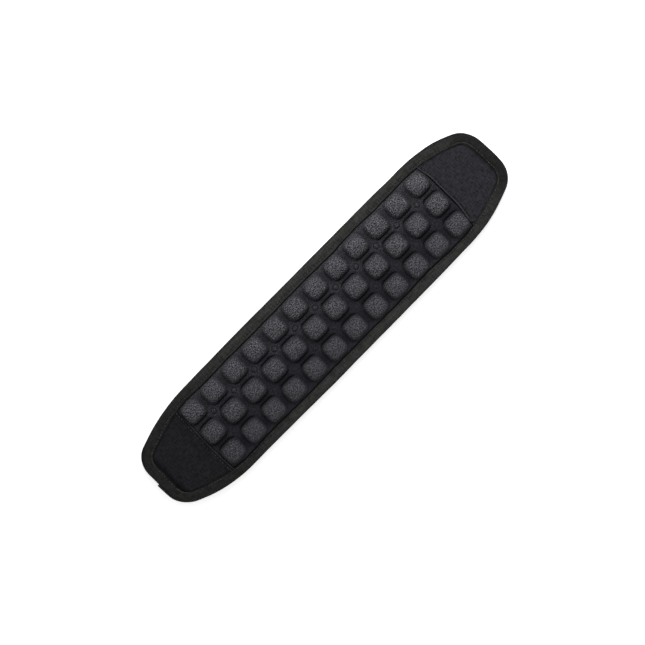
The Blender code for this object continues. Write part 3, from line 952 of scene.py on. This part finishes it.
def valley_tone_and_painted_light(x, y):
    """Tone of the cloth in the valleys, with painted light: paler towards +Y, by the tape and at
    the crossings, most at those on the +Y side.
    """
    tone = 0.09 + 0.0048 * y + 0.043 * np.clip(np.abs(y) - 25, 0, 4)
    for centre_x in crossings():
        for side, share in ((-1, 0.10), (1, 0.32)):
            away = np.hypot(x - centre_x, y - side * PITCH_Y / 2)
            tone = tone + share * bell(away / CROSSING_REACH)
    return tone


def resampled(values, x_lines, y_lines, x, y):
    """Values on one grid, read off at the lines of another."""
    across = np.stack([np.interp(y, y_lines, row) for row in values])
    return np.stack([np.interp(x, x_lines, column) for column in across.T], axis=1)


def spline_weights(lines, even_lines):
    """Smooth weights that carry values from evenly spaced lines to other lines."""
    away = np.abs(lines[:, None] - even_lines[None, :]) / CLOTH_STEP
    near = 2 / 3 - away ** 2 + away ** 3 / 2
    far = np.clip(2 - away, 0, 1) ** 3 / 6
    weights = np.where(away < 1, near, far)
    return weights / weights.sum(axis=1, keepdims=True)


def cloth_swelling(x_lines, y_lines, z, taut):
    """How far the air under the cover lifts its cloth, from a cloth simulation.

    The cloth is held still in the valleys. The copy is enlarged to the size of cloth
    that the solver is made for, and the rise it finds is brought back to this size.
    """
    x = np.arange(x_lines[0], x_lines[-1], CLOTH_STEP)
    y = np.arange(y_lines[0], y_lines[-1], CLOTH_STEP)
    flat = np.meshgrid(x, y, indexing="ij")
    unit = MM * CLOTH_ENLARGEMENT
    start = np.stack([*flat, resampled(z, x_lines, y_lines, x, y)], -1).reshape(-1, 3) * unit
    mesh = bpy.data.meshes.new("cloth_copy")
    mesh.from_pydata(start.tolist(), [], grid_quads(len(x), len(y)).tolist())
    copy = add_object("cloth_copy", mesh)
    scene = bpy.context.scene
    held = resampled(taut, x_lines, y_lines, x, y) < CLOTH_HELD_TAUT
    copy.vertex_groups.new(name="held").add(np.flatnonzero(held).tolist(), 1.0, "REPLACE")
    cloth = copy.modifiers.new("Cloth", "CLOTH")
    cloth.settings.vertex_group_mass = "held"
    cloth.settings.use_pressure = True
    cloth.settings.uniform_pressure_force = CLOTH_PRESSURE
    cloth.settings.shrink_min = -CLOTH_SLACK
    cloth.settings.effector_weights.gravity = 0.0
    for number in range(1, CLOTH_FRAMES + 1):
        scene.frame_set(number)
    settled = vertex_points(copy.evaluated_get(bpy.context.evaluated_depsgraph_get()).data)
    scene.frame_set(1)
    bpy.data.objects.remove(copy)
    bpy.data.meshes.remove(mesh)
    rise = (settled[:, 2] - start[:, 2]).reshape(len(x), len(y)) / unit
    rise = np.clip(rise, -CLOTH_CAP, CLOTH_CAP)
    return spline_weights(x_lines, x) @ rise @ spline_weights(y_lines, y).T


def moulded_cells(x, y, crown):
    """Height of the cloth over the cells, and its creases.

    Also where the cloth is taut, and the painted shade on its sides that face the lamp, each as
    a share.
    """
    z = np.full(x.shape, VALLEY_Z)
    taut, painted_crease_shade, pressed, lit_side_painted_shade = np.zeros((4, *x.shape))
    for centre_y in rows_of_cells():
        for centre_x in columns_of_cells():
            shift = rng.normal(0, CELL_SHIFT, 2)
            size = rng.normal(0, CELL_SIZE_SPREAD, 2)
            sag = np.clip(rng.normal(0, CELL_SAG), *CELL_SAG_RANGE)
            tilt = rng.normal(0, CELL_TILT, 2)
            off_x = x - centre_x - shift[0]
            off_y = y - centre_y - shift[1]
            half_x = CELL_HALF_X + size[0]
            half_y = CELL_HALF_Y + size[1]
            depth, facing = cell_outline(off_x, off_y, half_x, half_y)
            rise = cell_height(off_x, off_y, half_x, half_y, crown + sag, depth)
            z += rise * (1 + tilt[0] * off_x + tilt[1] * off_y)
            taut = np.maximum(taut, smoothstep((depth + 0.1) / TAUT_REACH))
            # Painted shade on the cell's +Y and +X sides, which face the lamp
            lit_y = np.maximum(off_y / half_y, 0) ** 2
            lit_x = 0.7 * np.maximum(off_x / half_x, 0) ** 2
            side_painted_shade = LIT_SIDE_PAINTED_SHADE * (lit_y + lit_x) * (depth > 0)
            lit_side_painted_shade = np.maximum(lit_side_painted_shade, side_painted_shade)
            beside_row = np.abs(centre_y + np.sign(off_y) * PITCH_Y / 2) < PITCH_Y
            along_x = smoothstep((facing - 0.6) / 0.38) * beside_row
            share = CREASE_SIDE_SHARE + (1 - CREASE_SIDE_SHARE) * along_x
            # Painted shade in the crease round each cell's foot, strongest along its sides that
            # face the next row; the same line is pressed in
            line = share * bell((depth + CREASE_OFFSET) / CREASE_WIDTH)
            pressed += CREASE_DEPTH * line
            painted_crease_shade = np.maximum(painted_crease_shade, line)
    return z, taut, painted_crease_shade, pressed, lit_side_painted_shade


def pressed_valleys(x, y, painted_crease_shade):
    """Rise of the bars and dots pressed between the rows, and the painted crease shade with
    painted shade on the bars and in the dots' rings added.
    """
    z = np.zeros(x.shape)
    for centre_x in columns_of_cells():
        on_bar = smoothstep((BAR_HALF_LENGTH - np.abs(x - centre_x)) / 2 + 0.5)
        for side, painted_bar_shade in ((-1, 0.3), (1, 0.1)):
            across = np.abs(y - side * PITCH_Y / 2)
            bar = on_bar * smoothstep((BAR_HALF_WIDTH - across) / 0.5 + 0.5)
            z += BAR_RISE * bar * (1 - 0.35 * (across / BAR_HALF_WIDTH) ** 2)
            # Painted shade on the bars, more on those on the -Y side
            painted_crease_shade = np.maximum(painted_crease_shade, painted_bar_shade * bar)
    for centre_x in crossings():
        for side, clear in ((-1, 0.35), (1, 1.0)):
            away = np.hypot(x - centre_x, y - side * PITCH_Y / 2)
            ring = clear * bell((away - RING_RADIUS) / RING_WIDTH)
            dot = clear * np.sqrt(np.clip(1 - (away / DOT_RADIUS) ** 2, 0, 1))
            z += CROSSING_RISE * bell(away / CROSSING_REACH) - RING_DEPTH * ring + DOT_RISE * dot
            # Painted shade in each dot's ring
            painted_crease_shade = np.maximum(painted_crease_shade, 0.55 * ring)
    return z, painted_crease_shade


def cover_bottom(x, y, z):
    """Underside of the cover, kept clear of the film's flat parts over the whole field."""
    film_top = box_mm("cell_base_film")[1][2] + FILM_FLAT_RISE + FILM_CLEARANCE
    thin = z - COVER_THICKNESS
    lifted = np.minimum(np.maximum(thin, film_top), z - COVER_LEAST_THICKNESS)
    in_field = (np.abs(x) < FILM_HALF_LENGTH) & (np.abs(y) < FILM_HALF_WIDTH)
    return np.where(in_field, lifted, thin)


def make_cover(materials):
    """Cloth moulded over the cells, with creases, bars and dots pressed into its valleys."""
    x_lines, y_lines = cover_lines()
    x, y = np.meshgrid(x_lines, y_lines, indexing="ij")
    crown = box_mm("front_cover")[1][2] - VALLEY_Z - CELL_WALL_HEIGHT - CLOTH_SWELL
    z, taut, painted_crease_shade, pressed, lit_side_painted_shade = moulded_cells(x, y, crown)
    z += cloth_swelling(x_lines, y_lines, z, taut) - pressed
    rise, painted_crease_shade = pressed_valleys(x, y, painted_crease_shade)
    z += rise + 0.05 * ripple(x, y, 9, 11) * (1 - 0.4 * taut)

    lower_edge, upper_edge = (
        half_width_at(x_lines, tape_width(EVEN_TRAVEL), side)[:, None] for side in (-1, 1)
    )
    beside = np.where(y < 0, lower_edge, upper_edge) - np.abs(y)
    hem = hem_x(np.sign(x), y) - np.abs(x)
    drop = smoothstep((1.2 - beside) / 1.0)
    end = smoothstep((np.abs(x) - COVER_END_X) / 1.3)
    z = z + (COVER_EDGE_Z - z) * np.maximum(drop, end)
    # Painted shade in the groove beside the tape and along the hem
    painted_crease_shade = np.maximum(painted_crease_shade, smoothstep((1.25 - beside) / 0.7))
    painted_crease_shade = np.maximum(painted_crease_shade, smoothstep((0.75 - hem) / 0.7))

    # Painted light: the cloth is made paler towards +X, where the lamp is nearer
    painted_light_towards_plus_x = 1 + 0.00095 * x
    # Painted light on the cells: paler towards +Y, where the lamp is, with painted shade on
    # their sides that face it
    pale = (0.90 + 0.006 * y) * (1 - lit_side_painted_shade)
    stretch = (taut * pale + (1 - taut) * valley_tone_and_painted_light(x, y)) * painted_light_towards_plus_x
    tones = {"stretch": np.clip(stretch, 0, 1), "painted_crease_shade": painted_crease_shade}
    limit = half_width_at(x_lines, COVER_INSET)[:, None] / y_lines.max()
    placed_y = y * np.minimum(limit, 1.0)
    top = np.stack([x, placed_y, z], -1)
    bottom = np.stack([x, placed_y, cover_bottom(x, y, z)], -1)
    piece = slab("moulded_cover", top, bottom, materials["cover_fabric"], tones=tones)
    place_piece(piece, ["front_cover"])


# ---------------------------------------------------------------- end panels


def hem_x(side, y):
    """Where an end panel's hem runs: each one is sewn a little differently."""
    left = 131.1 - 0.0293 * y - 0.00149 * y * y
    right = 132.6 - 2.1 * smoothstep((y - 18) / 12) - 2.9 * smoothstep((-y - 8) / 24)
    return np.where(np.asarray(side) < 0, left, right)


def panel_grid(side):
    """Places on an end panel, on its +X side, and their distance from its hem."""
    reach = np.concatenate([PANEL_HEM_LINES, np.linspace(4.0, 44.5, 68)])
    limit_x = HALF_LENGTH - PANEL_INSET
    along, share = np.meshgrid(reach / reach.max(), np.linspace(-1, 1, 101), indexing="ij")
    rough_x = PANEL_START_X + (limit_x - PANEL_START_X) * along
    start = hem_x(side, share * half_width_at(side * rough_x, PANEL_INSET))
    x = start + (limit_x - start) * along
    y = share * half_width_at(side * x, PANEL_INSET)
    return x, y, x - hem_x(side, y)


def make_end_panel(name, side, materials):
    """Plain cloth over one end, folded under along its hem and caught in the binding."""
    x, y, away = panel_grid(side)
    lip = np.sqrt(np.clip(1 - (1 - np.minimum(away / 0.45, 1)) ** 2, 0, 1))
    roll = 0.30 * bell((away - 0.85) / 0.55)
    seam_away = away - HEM_SEAM_INSET[name]
    tuck = bell((away - 1.7) / 0.35)
    groove = 0.34 * bell(seam_away / 0.5) + 0.15 * tuck
    fold = 0.28 * (1 - smoothstep((away - 8.4) / 0.9))
    lift = 0.55 * (1 - smoothstep((away - 1.0) / 5.5)) * smoothstep((33.5 - np.abs(y)) / 3)
    inside_y = half_width_at(side * x, TAPE_END_WIDTH) - np.abs(y)
    inside_x = HALF_LENGTH - TAPE_END_WIDTH - x
    inside = np.minimum(inside_x, inside_y)
    belly = 0.30 * smoothstep(inside / 9)
    crumple = 0.11 * ripple(x, y, 15, 21 + side) * smoothstep((inside + 2) / 6)
    dent = PANEL_DENT[name] * bell((away - 11) / 5.5) * smoothstep(inside / 6)
    surface = PANEL_Z + belly + crumple + fold + lift - dent
    top_z = surface + PANEL_LIP * lip + roll - groove
    bottom_z = np.minimum(surface - 0.12 * lip - 0.5 * fold, top_z - 0.02)
    top, bottom = (np.stack([side * x, y, z], -1) for z in (top_z, bottom_z))

    # Painted light on the panel: its painted shade, a painted highlight on the hem's roll,
    # painted shade in the seam, its needle holes, the tuck and at the hem's edge, and painted
    # shadow of the binding along the end and the sides
    hole = bell(from_needle_hole(y) / 0.5)
    reach_x = PANEL_END_SHADOW_REACH[name]
    painted_shading = darkened(
        PANEL_PAINTED_SHADE[name] * (1 + HEM_ROLL_PAINTED_HIGHLIGHT[name] * bell((away - 0.75) / 0.42)),
        bell(seam_away / 0.55) * (0.35 + 0.6 * hole),
        0.45 * tuck,
        0.75 * smoothstep((0.25 - away) / 0.25),
        PANEL_END_PAINTED_SHADOW[name] * smoothstep((reach_x - inside_x) / (reach_x - 1)),
        PANEL_SIDE_PAINTED_SHADOW * smoothstep((1.3 - inside_y) / 1.3),
    )
    cloth = materials["panel_fabric"]
    uv = np.stack([x, y], -1)
    piece = slab(f"{name}_panel_cloth", top, bottom, cloth, uv, {"painted_shading": painted_shading})
    place_piece(piece, [f"{name}_end_panel"])
    middle_x = x[:, x.shape[1] // 2]
    area = 2 * np.trapz(half_width_at(side * middle_x, PANEL_INSET), middle_x) * MM * MM
    area = min(area, PANEL_FLAT[0] * PANEL_FLAT[1])
    make_hem_seam(name, side, materials)


def make_hem_seam(name, side, materials):
    """The row of stitches beside a panel's hem, a little lower at its two ends."""
    y = np.arange(-31.5, 31.5, STITCH_PITCH) + STITCH_PITCH / 2
    x = hem_x(side, y) + HEM_SEAM_INSET[name]
    along = side * (hem_x(side, y + 0.5) - hem_x(side, y - 0.5)) + 1j
    z = np.interp(np.abs(y), [29, 33], [11.6, 11.0]) + 0.1
    thread = materials["thread"]
    place, along = side * x + 1j * y, along / np.abs(along)
    seam = stitch_row(f"{name}_hem_stitches", place, along, z, 1, thread)
    place_piece(seam, [f"{name}_hem_thread"])


# ------------------------------------------------------------------ the back


def make_back_cover(materials):
    """Plain cloth over the whole back, caught in the binding."""
    low, high = box_mm("back_cover")
    limit = HALF_LENGTH - BACK_INSET
    x_lines = np.linspace(-limit, limit, 241)
    x, share = np.meshgrid(x_lines, np.linspace(-1, 1, 55), indexing="ij")
    y = share * half_width_at(x, BACK_INSET)
    sag = 0.07 * ripple(x, y, 26, 31) + 0.04 * ripple(x, y, 8, 32)
    quiet = smoothstep((half_width_at(x, 9.0) - np.abs(y)) / 5)
    bottom = np.stack([x, y, low[2] + 0.05 + sag * quiet * 0.6], -1)
    top = np.stack([x, y, np.full(x.shape, high[2])], -1)
    piece = slab("back_cloth", top, bottom, materials["back_fabric"])
    place_piece(piece, ["back_cover"])
    area = 2 * np.trapz(half_width_at(x_lines, BACK_INSET), x_lines) * MM * MM


def sleeve_profile():
    """The cloth's middle line across the pad: sewn margin, fold, slope, flat and raised tip.

    Returns its points and the number of the first one on the flap.
    """
    fold_y, fold_z = np.array(frame["joints"][0]["pos_m"][1:]) / MM
    margin_y = np.linspace(box_mm("flap_sewn_margin")[1][1], fold_y, 7)
    turn = np.linspace(math.pi / 2, 3 * math.pi / 2, 11)[1:-1]
    tip_y = box_mm("sleeve_flap")[1][1]
    tip_z = box_mm("hook_strip")[0][2] - 0.9
    knots = [
        (fold_y, fold_z - FOLD_RADIUS),
        (-29.2, SLEEVE_FLAT_Z + 0.28),
        (-26.8, SLEEVE_FLAT_Z),
        (12.4, SLEEVE_FLAT_Z),
        (13.2, SLEEVE_FLAT_Z + 0.1),
        (15.6, tip_z - 0.1),
        (16.6, tip_z),
        (tip_y, tip_z),
    ]
    stretches = ((fold_y, -27, 16), (-27, 12, 54), (12, 17, 14), (17, tip_y, 26))
    y = np.concatenate([[fold_y], *(np.linspace(*stretch)[1:] for stretch in stretches)])
    z = np.interp(y, *zip(*knots))
    smooth = np.convolve(np.pad(z, 2, mode="edge"), [0.1, 0.2, 0.4, 0.2, 0.1], mode="valid")
    smooth[0] = z[0]
    margin = np.stack([margin_y, np.full(len(margin_y), fold_z + FOLD_RADIUS)], -1)
    fold = np.array([fold_y, fold_z]) + FOLD_RADIUS * np.stack([np.cos(turn), np.sin(turn)], -1)
    return np.concatenate([margin, fold, np.stack([y, smooth], -1)]), len(margin) + len(fold)


def make_sleeve(materials):
    """The flap with its sewn margin, one hemmed sheet shaped round its fold."""
    line, first_flap = sleeve_profile()
    travel = np.concatenate([[0.0], np.hypot(*np.diff(line, axis=0).T).cumsum()])
    to_tip = travel[-1] - travel
    along = np.gradient(line, axis=0)
    along /= np.linalg.norm(along, axis=1, keepdims=True)
    normal_y, normal_z = -along[:, 1], along[:, 0]
    cut = np.clip(SLEEVE_CORNER - to_tip, 0, SLEEVE_CORNER)
    rounded_off = SLEEVE_CORNER - np.sqrt(SLEEVE_CORNER ** 2 - cut ** 2)
    half_length = box_mm("sleeve_flap")[1][0] - rounded_off
    x = np.linspace(-1, 1, 251)[:, None] * half_length
    edge = np.minimum(half_length - np.abs(x), to_tip)
    hem = 0.14 * (1 - smoothstep((edge - 6.2) / 0.8))
    seam = 0.17 * bell((edge - SLEEVE_SEAM) / 0.5)
    rounding = np.clip(edge / 0.4, 0.0, 1.0)
    half = (SLEEVE_HALF_THICKNESS + hem - seam) * (0.3 + 0.7 * np.sqrt(rounding))
    on_flap = smoothstep((travel - travel[first_flap] - 4) / 8)
    along_cloth = np.broadcast_to(travel, x.shape)
    wave = 0.05 * ripple(x, along_cloth, 38, 41) * on_flap
    bend = 0.14 * ripple(x, 0 * x, 30, 42) * smoothstep((9 - edge) / 9) * on_flap
    middle_z = line[:, 1] + wave + np.maximum(bend, -0.02)
    top, bottom = (
        np.stack([x, line[:, 0] + way * normal_y, middle_z + way * normal_z], -1)
        for way in (half, -half)
    )
    uv = np.stack([x, along_cloth], -1)
    piece = slab("sleeve_cloth", top, bottom, materials["back_fabric"], uv)
    place_piece(piece, ["sleeve_flap", "flap_sewn_margin"], body=None)
    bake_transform(piece)


def make_sleeve_seams(materials):
    """Stitching on the sleeve: its margin's, and its hem's on both faces."""
    thread = materials["thread"]
    low, high = box_mm("flap_margin_thread")
    middle = (low + high) / 2
    line = [complex(low[0], middle[1]), complex(high[0], middle[1])]
    margin = outline_stitches("flap_margin_stitches", line, middle[2] + 0.15, -1, thread)
    place_piece(margin, ["flap_margin_thread"])
    half, tip = box_mm("sleeve_flap")[1][:2] - SLEEVE_SEAM
    corners = [complex(half, -27), complex(half, tip), complex(-half, tip), complex(-half, -27)]
    radius = SLEEVE_CORNER - SLEEVE_SEAM
    path = [corners[0]]
    path += corner_arc(*corners[:3], radius)
    path += corner_arc(*corners[1:], radius)
    path.append(corners[3])
    line, first_flap = sleeve_profile()
    for name, way in (("inner", 1), ("outer", -1)):
        row = outline_stitches(f"flap_hem_stitches_{name}", path, 0.0, way, thread)
        points = vertex_points(row.data)
        cloth_z = np.interp(points[:, 1] / MM, *line[first_flap:].T)
        points[:, 2] += (cloth_z + way * SLEEVE_HALF_THICKNESS) * MM
        row.data.vertices.foreach_set("co", points.ravel())
        row.data.update()
        place_piece(row, body="flap")


def strip_slab(name, node, up, relief, slot, materials):
    """A strip with rounded corners in a CAD node's box, flat on one face.

    The other face looks up or down, as far away as the relief says for the distance
    from the strip's edge.
    """
    low, high = box_mm(node)
    turn = STRIP_RADIUS * (1 - np.cos(np.linspace(0, math.pi / 2, 9)))
    straight = np.linspace(low[1] + STRIP_RADIUS, high[1] - STRIP_RADIUS, 31)[1:-1]
    y_lines = np.concatenate([low[1] + turn, straight, high[1] - turn[::-1]])
    inside = np.minimum(y_lines - low[1], high[1] - y_lines)
    reach = np.clip(STRIP_RADIUS - inside, 0, STRIP_RADIUS)
    rounded_off = STRIP_RADIUS - np.sqrt(np.maximum(STRIP_RADIUS ** 2 - reach ** 2, 0.01))
    x = np.linspace(-1, 1, 401)[:, None] * (high[0] - rounded_off)
    y = np.broadcast_to(y_lines, x.shape)
    edge = np.minimum(inside, high[0] - np.abs(x))
    flat_z = np.full(x.shape, low[2] if up > 0 else high[2])
    heights = (flat_z, flat_z + up * relief(x, y, edge))
    top, bottom = (np.stack([x, y, z], -1) for z in heights[::-up])
    piece = slab(name, top, bottom, materials[slot])
    place_piece(piece, [node], frame["nodes"][node]["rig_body"])
    return low, high


def make_loop_strip(materials):
    """Soft half of the closure: a tape covered with a tangle of small loops."""
    def tape_relief(x, y, edge):
        body = 0.55 * smoothstep(edge / 0.5) + 0.12
        seam = 0.22 * bell((edge - STRIP_SEAM) / 0.5)
        pile = 0.12 * ripple(x, y, 2.6, 51) + 0.08 * ripple(x, y, 1.5, 52)
        return body - seam + pile * smoothstep((edge - 0.3) / 1.0)

    low, high = strip_slab("loop_tape", "loop_strip", -1, tape_relief, "loop_pile", materials)
    count = 5200
    centre_x = rng.uniform(low[0] + 2.0, high[0] - 2.0, count)
    centre_y = rng.uniform(low[1] + 2.0, high[1] - 2.0, count)
    heading = rng.uniform(0, math.tau, count)
    lean = rng.uniform(-0.5, 0.5, count)
    size = rng.uniform(0.28, 0.45, count)
    turn = np.linspace(-0.35, math.pi + 0.35, 6)
    along = in_space(np.exp(1j * heading), 0.0)
    side = in_space(1j * np.exp(1j * heading), 0.0)
    down = np.array([0.0, 0.0, -1.0]) + side * lean[:, None]
    base = in_space(centre_x + 1j * centre_y, high[2] - 0.62)
    across, deep = (size[:, None] * arc for arc in (np.cos(turn), 1.5 * np.sin(turn)))
    paths = base[:, None] + along[:, None] * across[..., None] + down[:, None] * deep[..., None]
    pile = rods("loop_pile", paths, side, np.full(6, 0.045), 3, materials["loop_pile"])
    place_piece(pile)
    strip_stitches("loop_strip_stitches", "loop_strip", high[2] - 0.55, "pad", materials)


def make_hook_strip(materials):
    """Hook half of the closure: rows of small moulded hooks on a thin tape."""
    def tape_relief(x, y, edge):
        return 0.42 * smoothstep(edge / 0.3) + 0.08 - 0.14 * bell((edge - STRIP_SEAM) / 0.45)

    low, high = strip_slab("hook_tape", "hook_strip", 1, tape_relief, "hook_tape", materials)
    x_lines = np.arange(low[0] + 2.6, high[0] - 2.5, HOOK_PITCH)
    y_lines = np.arange(low[1] + 2.3, high[1] - 2.2, HOOK_PITCH)
    way = np.resize([-1.0, 1.0], len(y_lines))
    x, y = (lines.reshape(-1, 1) for lines in np.meshgrid(x_lines, y_lines, indexing="ij"))
    way = np.tile(way, len(x_lines))[:, None]
    reach = np.array([0.30, 0.16, 0.05, 0.02, 0.14, 0.34, 0.44]) - 0.22
    rise = np.array([0.0, 0.12, 0.32, 0.52, 0.68, 0.62, 0.44]) + 0.44
    paths = np.stack(np.broadcast_arrays(x + way * reach, y, low[2] + rise), -1)
    sides = np.tile([0.0, 1.0, 0.0], (len(x), 1))
    radii = np.array([0.24, 0.17, 0.12, 0.11, 0.11, 0.10, 0.06])
    hooks = rods("hooks", paths, sides, radii, 5, materials["hook_tape"])
    place_piece(hooks, body="flap")
    level = box_mm("hook_strip_thread")[1][2] - 0.25
    strip_stitches("hook_strip_stitches", "hook_strip", level, "flap", materials)


def make_grip_strip(materials):
    """Anti-slip rubber: a thin sheet with staggered raised dots."""
    def sheet_relief(x, y, edge):
        return 0.14 + 0.34 * smoothstep(edge / 0.5) - 0.05 * ripple(x, y, 30, 61)

    rubber = "grip_rubber"
    low, high = strip_slab("grip_sheet", "grip_strip", -1, sheet_relief, rubber, materials)
    rows = np.arange(low[1] + 2.4, high[1] - 2.0, GRIP_PITCH * math.sin(math.pi / 3))
    places = []
    for k, y in enumerate(rows):
        first = low[0] + 3.0 + GRIP_PITCH / 2 * (k % 2)
        places += [(x, y, high[2]) for x in np.arange(first, high[0] - 2.6, GRIP_PITCH)]
    depth = np.array([0.3, 0.46, 0.62, 0.74, 0.80])
    radii = np.array([1.05, 1.05, 0.92, 0.6, 0.2])
    paths = np.array(places)[:, None] - depth[:, None] * np.array([0.0, 0.0, 1.0])
    sides = np.tile([1.0, 0.0, 0.0], (len(places), 1))
    dots = rods("grip_dots", paths, sides, radii, 10, materials[rubber])
    place_piece(dots)


# -------------------------------------------------------------- whole object


def finish_inner_layers(materials):
    """The layers inside keep their CAD shape and get their own finish."""
    finishes = {"air_cell_film": "cell_film", "cell_base_film": "cell_film", "foam_core": "foam"}
    for node, slot in finishes.items():
        layers = frame["nodes"][node].data.materials
        layers.clear()
        layers.append(materials[slot])


# --------------------------------------------------------------------- stage


def make_stage():
    """A wide pale floor, even soft light and one large lamp from the upper edge of the view."""
    mesh = bpy.data.meshes.new("floor")
    half = 3.0
    corners = [(-half, -half, 0), (half, -half, 0), (half, half, 0), (-half, half, 0)]
    mesh.from_pydata(corners, [], [(0, 1, 2, 3)])
    floor = add_object("floor", mesh)
    material = bpy.data.materials.new("floor_paper")
    material.use_nodes = True
    surface = material.node_tree.nodes["Principled BSDF"]
    surface.inputs["Base Color"].default_value = (0.92, 0.92, 0.92, 1.0)
    surface.inputs["Roughness"].default_value = 0.9
    surface.inputs["Specular IOR Level"].default_value = 0.1
    surface.inputs["Emission Color"].default_value = (1.0, 1.0, 1.0, 1.0)
    surface.inputs["Emission Strength"].default_value = 0.555
    mesh.materials.append(material)
    floor.location.z = -0.0002

    world = bpy.data.worlds.new("studio")
    world.use_nodes = True
    background = world.node_tree.nodes["Background"]
    background.inputs["Color"].default_value = (1.0, 1.0, 1.0, 1.0)
    background.inputs["Strength"].default_value = 0.62
    bpy.context.scene.world = world

    lamp = bpy.data.lights.new("softbox", "AREA")
    lamp.shape = "SQUARE"
    lamp.size = 0.47
    lamp.energy = 4.4
    light = add_object("softbox", lamp)
    light.location = (0.36, 0.34, 0.52)
    light.visible_camera = False
    light.rotation_euler = Vector(light.location).to_track_quat("Z", "Y").to_euler()


def make_camera():
    """Straight down, with the pad turned so that its +X end points to the upper right."""
    camera = bpy.data.cameras.new("camera")
    camera.sensor_width = 36.0
    camera.lens = 109.4
    camera.clip_end = 20.0
    item = add_object("camera", camera)
    item.location = (-0.0040, -0.0010, 1.510)
    item.rotation_euler = (0.0, 0.0, math.radians(-45.42))
    bpy.context.scene.camera = item
    bpy.context.scene.view_settings.view_transform = "Standard"


def main():
    make_camera()
    make_stage()
    materials = make_materials()
    finish_inner_layers(materials)
    make_cover(materials)
    make_end_panel("left", -1, materials)
    make_end_panel("right", 1, materials)
    make_binding(materials)
    front_z, back_z = TAPE_TOP_Z + 0.1, TAPE_BOTTOM_Z - 0.2
    edge_stitches("binding_stitches_front", "binding_thread_front", front_z, 1, materials)
    edge_stitches("binding_stitches_back", "binding_thread_back", back_z, -1, materials)
    make_back_cover(materials)
    make_sleeve(materials)
    make_sleeve_seams(materials)
    make_loop_strip(materials)
    make_hook_strip(materials)
    make_grip_strip(materials)


main()
